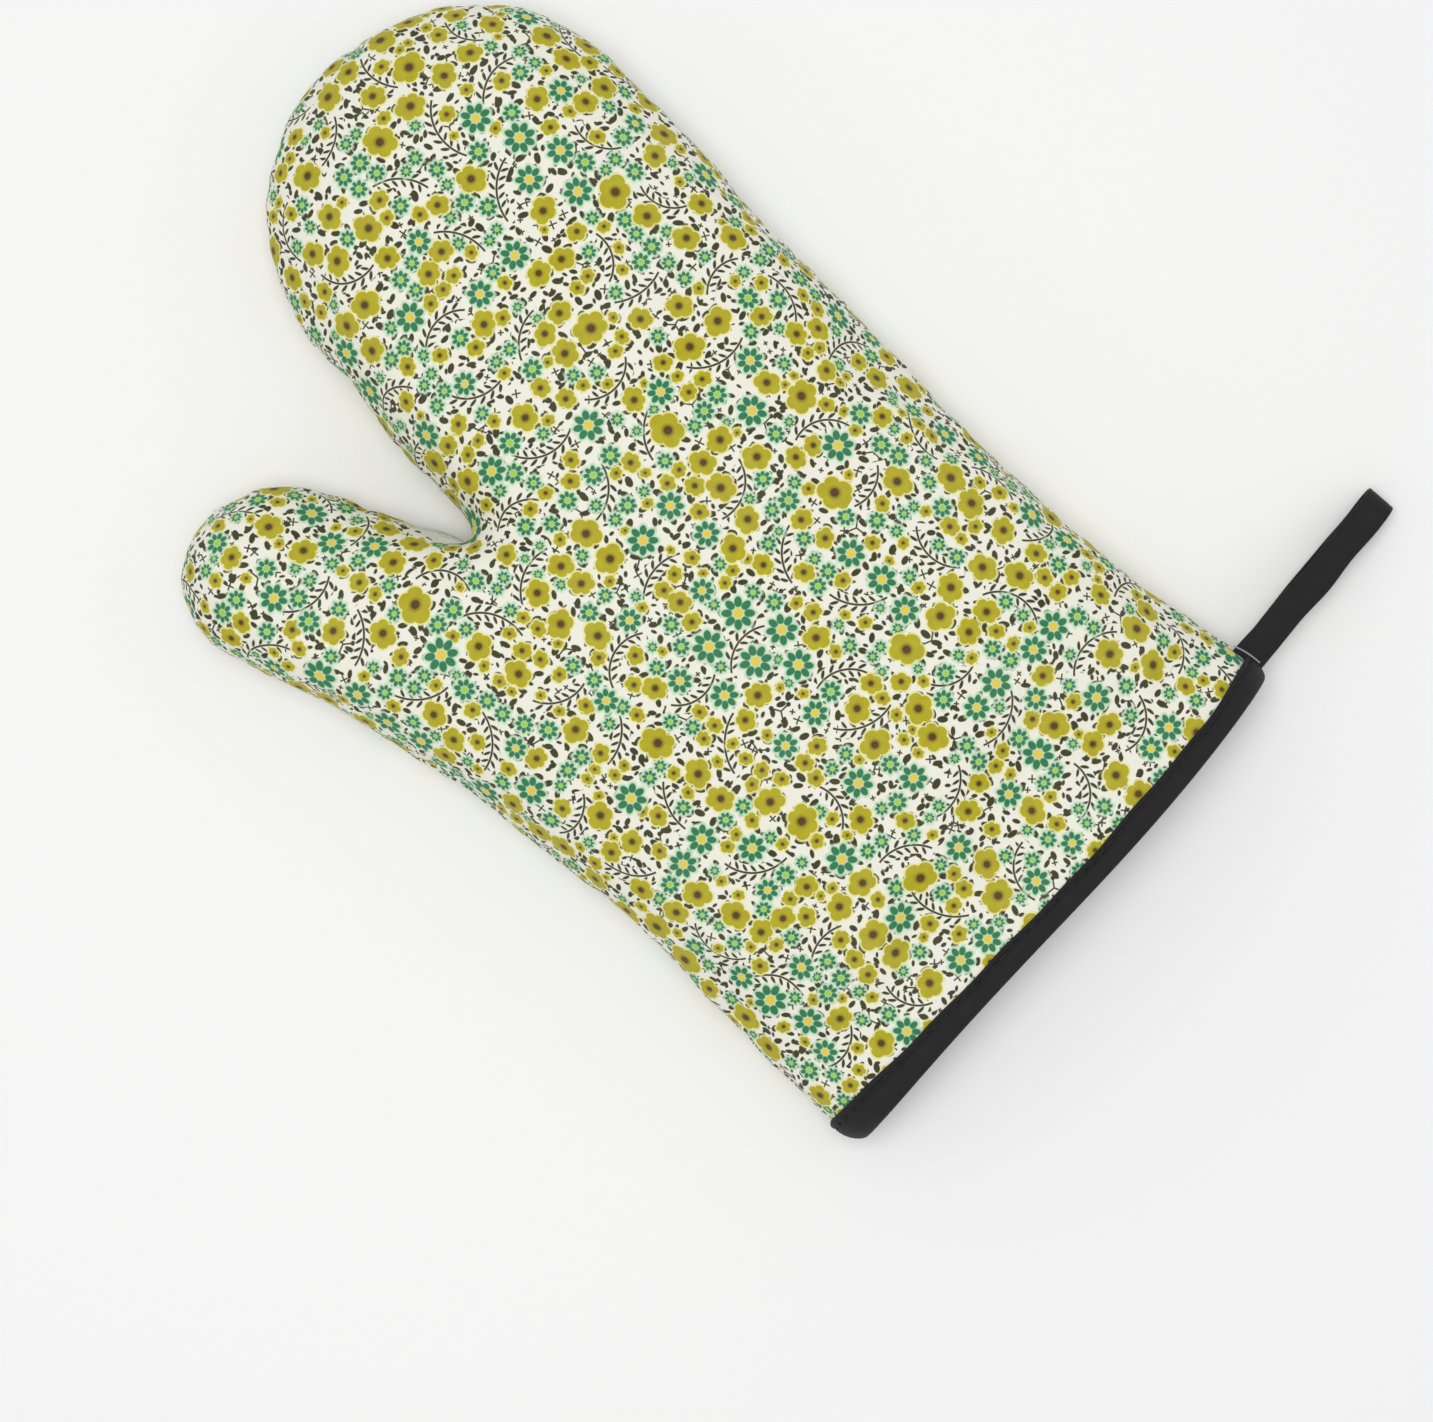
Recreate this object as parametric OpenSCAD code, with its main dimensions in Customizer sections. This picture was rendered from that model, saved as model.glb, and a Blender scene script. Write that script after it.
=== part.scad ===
// Quilted oven mitt with a bound cuff and a sewn hanging loop.
// It lies on its palm panel: +X points to the loop side of the cuff, +Y to the fingertips, +Z up.
// The mitt is two padded walls, each a printed shell, a sheet of wadding and a lining, joined by
// a side seam that runs from one corner of the cuff round the thumb and the fingers to the other.

/* [Body] */
// Hem of the cuff to the fingertips
mitt_length = 280; // [250:1:340]
// Width across the cuff, over the shell
cuff_width = 158; // [130:1:190]
// Radius of the rounded fingertips
finger_radius = 53.2; // [44:0.1:64]
// How far the fingers lean away from the thumb
finger_lean = 36; // [25:0.5:45]
// Radius of the rounded thumb tip
thumb_radius = 22.6; // [21:0.1:27]
// Hem of the cuff to the thumb tip
thumb_height = 229; // [210:1:250]
// Centre of the cuff to the middle of the thumb tip
thumb_spread = 65.7; // [62:0.1:75]
// Hem of the cuff to the crotch between thumb and fingers
crotch_height = 177.7; // [165:0.1:190]
// Centre of the cuff to the crotch, on the thumb's side
crotch_side = 29; // [25:0.5:33]
// Radius of the crotch
crotch_radius = 2.4; // [1.5:0.1:4]

/* [Padding] */
// Thickness over both walls at the cuff
cuff_thickness = 34; // [30:0.5:44]
// Thickness over both walls at the palm
palm_thickness = 40; // [34:0.5:48]
// Thickness over both walls at the fingers
finger_thickness = 37; // [32:0.5:44]
// Thickness over both walls at the thumb
thumb_thickness = 32; // [30:0.5:38]
// Height of the mitt's widest line above the table
widest_height = 11; // [9:0.5:13]
// Height of the side seam above the table
seam_height = 15; // [14:0.5:17]
// Width of the rolled edge under the palm panel
edge_roll = 18; // [14:0.5:19.5]
// How square the section is: 2 is an ellipse
fullness = 2.6; // [2:0.1:3.5]

/* [Cloth] */
// Thickness of the printed shell
shell_cloth = 0.6; // [0.3:0.05:1]
// Thickness of the wadding
wadding = 4; // [2.5:0.1:5]
// Thickness of the lining
lining_cloth = 0.6; // [0.3:0.05:1]
// Thickness of the sewing thread
thread = 0.5; // [0.3:0.05:0.8]

/* [Binding] */
// Thickness of the folded tape that binds the cuff
binding_cloth = 0.8; // [0.5:0.05:1.2]
// Width of the binding's visible face
binding_width = 6.4; // [5:0.1:9]
// Binding's upper edge to the row of topstitching
stitch_inset = 1.4; // [1:0.1:3]
// Length of one stitch
stitch_length = 2.6; // [1.5:0.1:4]
// Gap between two stitches
stitch_gap = 0.9; // [0.5:0.1:2]

/* [Loop] */
// Corner of the cuff to the far end of the loop
loop_length = 54; // [40:1:80]
// Width of the loop's tape
loop_width = 8.1; // [6:0.1:9.5]
// Thickness of the loop's tape, one ply
loop_cloth = 1; // [0.6:0.1:1.2]
// Radius inside the loop's folded end
loop_bight = 3.8; // [3:0.1:5]
// Length over which the two plies lie together
loop_neck = 5; // [3:0.5:8]
// Hem of the cuff to the lower edge of the loop
loop_rise = 2; // [1:0.1:3]
// How far the tape's sewn ends reach in from the corner
loop_tuck = 4; // [2:0.5:6]
// Gap that lets the loop bend at its root
loop_clearance = 0.35; // [0.3:0.05:0.6]

/* [Hidden] */

// Depths below the mitt's outer face at which one layer ends and the next begins.
shell_inner = shell_cloth;
wadding_inner = shell_inner + wadding;
wall = wadding_inner + lining_cloth;

// Straight part of the cuff, which the binding covers, and where the palm panel comes down flat.
cuff_margin = 4;
cuff_straight = binding_width + cuff_margin;
flat_start = cuff_straight + 20;

half_cuff = cuff_width / 2;
thumb_centre = [-thumb_spread, thumb_height - thumb_radius];
finger_centre = [finger_lean, mitt_length - finger_radius];
crotch = [-crotch_side, crotch_height];

// Angles on the rounded tips at which the straight sides run into them.
thumb_outer_angle = 190;
thumb_inner_angle = 17;
finger_outer_angle = 175;
finger_inner_angle = -3;

// The ridge of the mitt forks below the crotch.
fork_drop = 50;
fork = [finger_lean / 5, crotch_height - fork_drop];

// How far each curve's handle reaches along the sides of the mitt.
cuff_waist = [5, 75];
thumb_side_pull = 70;
thumb_inside_pull = 12;
crotch_pull = 8;
crotch_rise = 16;
finger_inside_pull = 18;
finger_side_pull = 74;
finger_waist = [7.5, 60];

// How far each curve's handle reaches along the ridge.
stem_height = 50;
stem_pull = 0.6;
thumb_fork_pull = [-12, 18];
thumb_tip_pull = [14, -34];
finger_fork_pull = [6, 32];
finger_tip_pull = [-6, -34];
// How soon the stem reaches its full thickness.
stem_growth = 1.4;

// Stations along each stretch of the outline.
cuff_steps = 7;
thumb_steps = 7;
finger_steps = 7;
thumb_tip_steps = 16;
finger_tip_steps = 20;
crotch_steps = 4;
dome_steps = 6;
side_steps = 2;
roll_steps = 4;

function flatten(lists) = [for (list = lists) each list];
function along(a, b, t) = a + (b - a) * t;
function bezier(a, b, c, d, t) =
    a * pow(1 - t, 3) + b * 3 * t * pow(1 - t, 2) + c * 3 * t * t * (1 - t) + d * pow(t, 3);
function on_circle(centre, radius, angle) = centre + radius * [cos(angle), sin(angle)];
// Direction of travel, clockwise, at an angle on a circle.
function heading(angle) = [sin(angle), -cos(angle)];
function eased(t) = t * t * (3 - 2 * t);
function reversed(list) = [for (i = [len(list) - 1 : -1 : 0]) list[i]];

// The ridge, as [point, thickness] along its lower stem, its thumb branch and its finger branch.
function stem(t) = let (middle = [0, stem_height]) [
    bezier([0, cuff_straight], middle, along(middle, fork, stem_pull), fork, t),
    along(cuff_thickness, palm_thickness, eased(min(1, t * stem_growth)))
];
function thumb_branch(t) = [
    bezier(fork, fork + thumb_fork_pull, thumb_centre + thumb_tip_pull, thumb_centre, t),
    along(palm_thickness, thumb_thickness, eased(t))
];
function finger_branch(t) = [
    bezier(fork, fork + finger_fork_pull, finger_centre + finger_tip_pull, finger_centre, t),
    along(palm_thickness, finger_thickness, eased(t))
];

// Where the sides meet the rounded tips.
thumb_outer = on_circle(thumb_centre, thumb_radius, thumb_outer_angle);
thumb_inner = on_circle(thumb_centre, thumb_radius, thumb_inner_angle);
finger_outer = on_circle(finger_centre, finger_radius, finger_outer_angle);
finger_inner = on_circle(finger_centre, finger_radius, finger_inner_angle);

// The small arc at the crotch, from the thumb's side to the fingers' side.
crotch_thumb_angle = 229;
crotch_finger_angle = 350;
crotch_centre = crotch + [0, crotch_radius];
crotch_thumb = on_circle(crotch_centre, crotch_radius, crotch_thumb_angle);
crotch_finger = on_circle(crotch_centre, crotch_radius, crotch_finger_angle);

// Sides of the mitt, from the cuff to the tips.
function thumb_side(t) = bezier(
    [-half_cuff, cuff_straight], [cuff_waist[0] - half_cuff, cuff_waist[1]],
    thumb_outer - thumb_side_pull * heading(thumb_outer_angle), thumb_outer, t);
function thumb_inside(t) = bezier(
    thumb_inner, thumb_inner + thumb_inside_pull * heading(thumb_inner_angle),
    crotch_thumb + crotch_pull * heading(crotch_thumb_angle), crotch_thumb, t);
function finger_inside(t) = bezier(
    crotch_finger, crotch_finger - crotch_rise * heading(crotch_finger_angle),
    finger_outer - finger_inside_pull * heading(finger_outer_angle), finger_outer, t);
function finger_side(t) = bezier(
    finger_inner, finger_inner + finger_side_pull * heading(finger_inner_angle),
    [half_cuff - finger_waist[0], finger_waist[1]], [half_cuff, cuff_straight], t);

// A station is [outline point, ridge point, thickness, lift of the palm panel off the table].
function lift(y) = let (t = (y - cuff_straight) / (flat_start - cuff_straight))
    binding_cloth * (1 - eased(min(1, max(0, t))));
function station(edge, ridge) = [edge, ridge[0], ridge[1], lift(ridge[0][1])];
function cuff_station(side, y) = [[side * half_cuff, y], [0, y], cuff_thickness, binding_cloth];

// Share of the thumb side that lies below the fork.
fork_share = 0.52;
// Share of the finger side, from the tip, that lies above the fork.
upper_share = 0.5;

STATIONS = concat(
    [cuff_station(-1, 0)],
    [for (i = [0 : cuff_steps]) let (t = i / cuff_steps) station(thumb_side(t * fork_share), stem(t))],
    [for (i = [1 : thumb_steps]) let (t = i / thumb_steps)
        station(thumb_side(along(fork_share, 1, t)), thumb_branch(t))],
    [for (i = [1 : thumb_tip_steps])
        station(on_circle(thumb_centre, thumb_radius,
            along(thumb_outer_angle, thumb_inner_angle, i / thumb_tip_steps)), thumb_branch(1))],
    [for (i = [1 : thumb_steps]) let (t = i / thumb_steps) station(thumb_inside(t), thumb_branch(1 - t))],
    [for (i = [1 : crotch_steps])
        station(on_circle(crotch_centre, crotch_radius,
            along(crotch_thumb_angle, crotch_finger_angle, i / crotch_steps)), stem(1))],
    [for (i = [1 : finger_steps]) let (t = i / finger_steps) station(finger_inside(t), finger_branch(t))],
    [for (i = [1 : finger_tip_steps])
        station(on_circle(finger_centre, finger_radius,
            along(finger_outer_angle, finger_inner_angle, i / finger_tip_steps)), finger_branch(1))],
    [for (i = [1 : finger_steps]) let (t = i / finger_steps)
        station(finger_side(t * upper_share), finger_branch(1 - t))],
    [for (i = [1 : cuff_steps]) let (t = i / cuff_steps)
        station(finger_side(along(upper_share, 1, t)), stem(1 - t))],
    [cuff_station(1, 0)]
);

// Points of a station's section at a depth below the outer face.
function in_from(st, inset, z) =
    let (run = st[1] - st[0], p = st[0] + run * (inset / norm(run))) [p[0], p[1], z];
function dome_point(st, depth, angle) =
    let (reach = norm(st[1] - st[0]))
    in_from(st, reach - (reach - depth) * pow(cos(angle), 2 / fullness),
        widest_height + (st[2] - widest_height - depth) * pow(sin(angle), 2 / fullness));
function roll_point(st, depth, angle) =
    in_from(st, edge_roll - (edge_roll - depth) * cos(angle),
        widest_height - (widest_height - st[3] - depth) * sin(angle));
function ridge_point(st, depth) = [st[1][0], st[1][1], st[2] - depth];
function floor_point(st, depth) = [st[1][0], st[1][1], st[3] + depth];
// Angle on the dome at which the side seam lies.
function seam_angle(st, depth) =
    asin(pow((seam_height - widest_height) / (st[2] - widest_height - depth), fullness / 2));

function front_rows(depth) = [for (st = STATIONS) let (start = seam_angle(st, depth)) concat(
    [for (i = [0 : dome_steps - 1])
        dome_point(st, depth, along(start, 90, i / dome_steps))],
    [ridge_point(st, depth)])];
function back_rows(depth) = [for (st = STATIONS) let (start = seam_angle(st, depth)) concat(
    [for (i = [0 : side_steps - 1]) dome_point(st, depth, along(start, 0, i / side_steps))],
    [for (i = [0 : roll_steps]) roll_point(st, depth, 90 * i / roll_steps)],
    [floor_point(st, depth)])];

// A closed sheet of cloth between an outer and an inner surface, each a list of rows of points.
// The rows start at the side seam and end on the ridge, where rows from both sides meet.
module sheet(outer, inner) {
    rows = len(outer);
    width = len(outer[0]);
    points = concat(flatten(outer), flatten(inner));
    function at(side, row, col) = (side * rows + row) * width + col;
    function quad(a, b, c, d) = [[a, b, c], [a, c, d]];
    outer_faces = [for (r = [0 : rows - 2], c = [0 : width - 2])
        each quad(at(0, r, c), at(0, r + 1, c), at(0, r + 1, c + 1), at(0, r, c + 1))];
    inner_faces = [for (r = [0 : rows - 2], c = [0 : width - 2])
        each quad(at(1, r, c), at(1, r, c + 1), at(1, r + 1, c + 1), at(1, r + 1, c))];
    seam_faces = [for (r = [0 : rows - 2])
        each quad(at(0, r, 0), at(1, r, 0), at(1, r + 1, 0), at(0, r + 1, 0))];
    mouth_faces = [for (c = [0 : width - 2]) each concat(
        quad(at(0, 0, c), at(0, 0, c + 1), at(1, 0, c + 1), at(1, 0, c)),
        quad(at(0, rows - 1, c), at(1, rows - 1, c), at(1, rows - 1, c + 1), at(0, rows - 1, c + 1)))];
    faces = concat(outer_faces, inner_faces, seam_faces, mouth_faces);
    polyhedron(points, [for (f = faces)
        if (norm(points[f[0]] - points[f[1]]) > 1e-6
            && norm(points[f[1]] - points[f[2]]) > 1e-6
            && norm(points[f[2]] - points[f[0]]) > 1e-6) f]);
}

// Moves the sewing frame, whose origin is the middle of the hem, so that the whole part is centred.
loop_end = half_cuff + loop_length;
low_x = -thumb_spread - thumb_radius;
centre_shift = [-(low_x + loop_end) / 2, -(mitt_length - binding_cloth) / 2, 0];
module placed() { translate(centre_shift) children(); }

// A front sheet is wound the other way round from a back sheet.
module front_sheet(outer_depth, inner_depth) {
    placed() sheet(front_rows(outer_depth), front_rows(inner_depth));
}
module back_sheet(outer_depth, inner_depth) {
    placed() sheet(back_rows(inner_depth), back_rows(outer_depth));
}

module shell_front() { color("#c9cf8c") front_sheet(0, shell_inner); }
module shell_back() { color("#b4ba76") back_sheet(0, shell_inner); }
module wadding_front() { color("#f4f4ef") front_sheet(shell_inner, wadding_inner); }
module wadding_back() { color("#e9e9e2") back_sheet(shell_inner, wadding_inner); }
module lining_front() { color("#ffffff") front_sheet(wadding_inner, wall); }
module lining_back() { color("#f6f6f6") back_sheet(wadding_inner, wall); }

// A thread that runs the whole way round a seam, square in section, at a depth and a height.
module seam_thread(depth, height) {
    path = [for (st = STATIONS) dome_point(st, depth, seam_angle(st, depth))];
    inward = [for (st = STATIONS) let (run = st[1] - st[0]) concat(run / norm(run), 0) * thread / 2];
    up = [0, 0, thread / 2];
    rows = len(path);
    points = [for (i = [0 : rows - 1]) let (p = [path[i][0], path[i][1], height])
        each [p - inward[i] - up, p + inward[i] - up, p + inward[i] + up, p - inward[i] + up]];
    sides = [for (i = [0 : rows - 2], k = [0 : 3]) let (n = (k + 1) % 4)
        each [[4 * i + k, 4 * i + n, 4 * i + 4 + n], [4 * i + k, 4 * i + 4 + n, 4 * i + 4 + k]]];
    last = 4 * (rows - 1);
    ends = [[0, 3, 2], [0, 2, 1], [last, last + 1, last + 2], [last, last + 2, last + 3]];
    placed() polyhedron(points, concat(sides, ends));
}

// The two threads of a lockstitch lie one on each side of the seam.
thread_offset = thread * 0.6;
shell_stitch_depth = shell_inner + thread;
lining_stitch_depth = wall - thread;
module shell_seam_needle_thread() {
    color("#e8e6d8") seam_thread(shell_stitch_depth, seam_height + thread_offset);
}
module shell_seam_bobbin_thread() {
    color("#dddbc9") seam_thread(shell_stitch_depth, seam_height - thread_offset);
}
module lining_seam_needle_thread() {
    color("#f2f2f2") seam_thread(lining_stitch_depth, seam_height + thread_offset);
}
module lining_seam_bobbin_thread() {
    color("#e6e6e6") seam_thread(lining_stitch_depth, seam_height - thread_offset);
}

// The cuff's closed section at a depth, in X and Z, from the thumb side over the top and back.
function cuff_half(side, depth) = let (
    st = cuff_station(side, 0),
    start = seam_angle(st, depth),
    points = concat(
        [for (i = [0 : roll_steps]) roll_point(st, depth, 90 * (1 - i / roll_steps))],
        [for (i = [1 : side_steps]) dome_point(st, depth, along(0, start, i / side_steps))],
        [for (i = [1 : dome_steps - 1]) dome_point(st, depth, along(start, 90, i / dome_steps))],
        [ridge_point(st, depth)])
) [for (p = points) [p[0], p[2]]];
function cuff_section(depth) = let (left = cuff_half(-1, depth), right = reversed(cuff_half(1, depth)))
    concat(left, [for (i = [1 : len(right) - 1]) right[i]]);

// A band round the cuff between two depths, from one distance above the hem to another.
module cuff_band(outer_depth, inner_depth, low, high) {
    translate([0, high, 0]) rotate([90, 0, 0]) linear_extrude(high - low) difference() {
        polygon(cuff_section(outer_depth));
        polygon(cuff_section(inner_depth));
    }
}

// Tape folded over the raw edge of the cuff: an outer face, a fold and an inner face.
module cuff_binding() {
    color("#232323") placed() union() {
        cuff_band(-binding_cloth, 0, 0, binding_width);
        cuff_band(-binding_cloth, wall + binding_cloth, -binding_cloth, 0);
        cuff_band(wall, wall + binding_cloth, 0, binding_width);
    }
}

// Points spaced evenly along a closed line, each with the direction of the line there.
function run_lengths(line, i = 0, sum = 0) = i >= len(line) ? [sum]
    : concat([sum], run_lengths(line, i + 1, sum + norm(line[(i + 1) % len(line)] - line[i])));
function leg_at(lengths, distance, i = 0) =
    i >= len(lengths) - 2 || lengths[i + 1] > distance ? i : leg_at(lengths, distance, i + 1);
function spaced(line, count) = let (lengths = run_lengths(line), total = lengths[len(line)])
    [for (k = [0 : count - 1]) let (
        distance = total * (k + 0.5) / count,
        i = leg_at(lengths, distance),
        a = line[i],
        b = line[(i + 1) % len(line)],
        t = (distance - lengths[i]) / (lengths[i + 1] - lengths[i])
    ) [along(a, b, t), atan2(b[1] - a[1], b[0] - a[0])]];

// A row of stitches round the cuff, each a short length of thread pulled level with the tape's face.
module stitch_row(depth) {
    line = cuff_section(depth);
    lengths = run_lengths(line);
    count = floor(lengths[len(line)] / (stitch_length + stitch_gap));
    placed() for (s = spaced(line, count))
        translate([s[0][0], binding_width - stitch_inset, s[0][1]]) rotate([0, -s[1], 0])
            cube([stitch_length, thread, thread], center = true);
}
module binding_needle_thread() { color("#2e2e2e") stitch_row(thread / 2 - binding_cloth); }
module binding_bobbin_thread() { color("#383838") stitch_row(wall + binding_cloth - thread / 2); }

// The loop is one tape folded double. It bends at its root, just outside the corner of the cuff,
// and droops until its folded end rests on the table.
loop_outer = loop_bight + loop_cloth;
root_radius = loop_cloth;
corner = dome_point(cuff_station(1, 0), -binding_cloth, seam_angle(cuff_station(1, 0), -binding_cloth));
pivot = [half_cuff + binding_cloth + loop_clearance + root_radius, seam_height];
bight_reach = loop_end - pivot[0] - loop_outer;
droop = atan((pivot[1] - loop_outer) / bight_reach);
loop_middle = loop_rise + loop_width / 2;

module wedge(neck_x, neck_half, end_x, end_half) {
    polygon([[neck_x, -neck_half], [end_x, -end_half], [end_x, end_half], [neck_x, neck_half]]);
    translate([end_x, 0]) circle(r = end_half, $fn = 48);
}
module hang_loop() {
    bight_x = bight_reach / cos(droop);
    color("#262626") placed() translate([pivot[0], loop_rise + loop_width, pivot[1]])
        rotate([90, 0, 0]) linear_extrude(loop_width) rotate(-droop) difference() {
            union() {
                circle(r = root_radius, $fn = 32);
                translate([0, -root_radius]) square([loop_neck, 2 * root_radius]);
                wedge(loop_neck, root_radius, bight_x, loop_outer);
            }
            wedge(loop_neck + loop_cloth, loop_clearance, bight_x, loop_bight);
        }
}

// The tape's two ends, sewn flat into the side seam under the binding.
module loop_sewn_ends() {
    outside = pivot[0] - root_radius - loop_clearance;
    color("#1f1f1f") placed()
        translate([half_cuff - loop_tuck, loop_rise, seam_height - loop_cloth])
            cube([outside - half_cuff + loop_tuck, loop_width, 2 * loop_cloth]);
}

// Dense stitches that hold the tape's ends at the corner of the cuff.
bartack_stitches = 5;
bartack_height = 5;
module loop_bartack() {
    pitch = (binding_width - loop_rise - thread) / bartack_stitches;
    color("#303030") placed() for (i = [0 : bartack_stitches - 1])
        translate([corner[0], loop_rise + thread + pitch * (i + 0.5), seam_height - bartack_height])
            cylinder(d = thread, h = bartack_height, $fn = 16);
}

shell_front();
shell_back();
wadding_front();
wadding_back();
lining_front();
lining_back();
shell_seam_needle_thread();
shell_seam_bobbin_thread();
lining_seam_needle_thread();
lining_seam_bobbin_thread();
cuff_binding();
binding_needle_thread();
binding_bobbin_thread();
hang_loop();
loop_sewn_ends();
loop_bartack();
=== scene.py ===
"""A padded oven mitt lying on its palm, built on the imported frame.

The mitt's outer face is made once, as one inflated skin, and every layer is a sheet at its own
depth under that face: printed shell, wadding and lining, each a front and a back panel. The bound
edge, the hanging loop and the stitching follow the same skin.
"""
import logging
import math
from dataclasses import dataclass
from enum import Enum
from typing import Callable, Sequence

import bmesh
import bpy
import numpy as np
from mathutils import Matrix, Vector
from mathutils.bvhtree import BVHTree


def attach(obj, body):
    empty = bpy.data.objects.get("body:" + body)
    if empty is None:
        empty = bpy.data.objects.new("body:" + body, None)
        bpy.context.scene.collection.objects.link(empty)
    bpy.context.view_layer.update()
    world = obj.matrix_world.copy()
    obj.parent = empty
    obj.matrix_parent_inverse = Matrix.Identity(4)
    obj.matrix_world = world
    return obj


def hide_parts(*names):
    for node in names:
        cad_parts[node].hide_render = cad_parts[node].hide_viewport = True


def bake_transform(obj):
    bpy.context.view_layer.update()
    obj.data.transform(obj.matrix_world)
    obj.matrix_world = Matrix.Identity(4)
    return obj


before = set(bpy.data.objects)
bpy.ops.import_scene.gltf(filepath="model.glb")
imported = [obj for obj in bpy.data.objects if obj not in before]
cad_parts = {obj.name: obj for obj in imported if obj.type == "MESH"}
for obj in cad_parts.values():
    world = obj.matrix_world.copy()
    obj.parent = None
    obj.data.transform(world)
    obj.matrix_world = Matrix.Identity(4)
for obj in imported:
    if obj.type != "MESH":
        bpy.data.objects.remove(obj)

log = logging.getLogger("mitt")
MM = 0.001
TURN = 2 * math.pi


class Panel(Enum):
    """The two halves of the mitt, either side of its seam."""

    FRONT = "front"
    BACK = "back"


# ---------------------------------------------------------------------------------------------
# Plane curves of the pattern, in millimetres from the middle of the hem
# ---------------------------------------------------------------------------------------------

def bezier(a: np.ndarray, b: np.ndarray, c: np.ndarray, d: np.ndarray, t: float) -> np.ndarray:
    """Point at t on the cubic curve with ends a and d and handles b and c."""
    return a * (1 - t) ** 3 + b * 3 * t * (1 - t) ** 2 + c * 3 * t * t * (1 - t) + d * t ** 3


def eased(t: float | np.ndarray) -> float | np.ndarray:
    """t from 0 to 1, slow at both ends."""
    t = np.clip(t, 0.0, 1.0)
    return t * t * (3 - 2 * t)


def turned(points: np.ndarray, angle: float | np.ndarray) -> np.ndarray:
    """Points of a plane turned about its origin by an angle in radians, one for all or one for each."""
    x, y, cos, sin = points[:, 0], points[:, 1], np.cos(angle), np.sin(angle)
    return np.stack([x * cos - y * sin, x * sin + y * cos], axis=1)


def on_circle(centre: np.ndarray, radius: float, degrees: float) -> np.ndarray:
    """Point on a circle."""
    angle = math.radians(degrees)
    return centre + radius * np.array([math.cos(angle), math.sin(angle)])


def heading(degrees: float) -> np.ndarray:
    """Direction of clockwise travel at an angle on a circle."""
    angle = math.radians(degrees)
    return np.array([math.sin(angle), -math.cos(angle)])


@dataclass(frozen=True)
class Station:
    """One rib of the mitt, from a point on its outline in to its ridge."""

    edge: np.ndarray
    ridge: np.ndarray
    thickness: float
    lift: float

    @property
    def reach(self) -> float:
        """Distance from the outline to the ridge."""
        return float(np.linalg.norm(self.ridge - self.edge))


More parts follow.
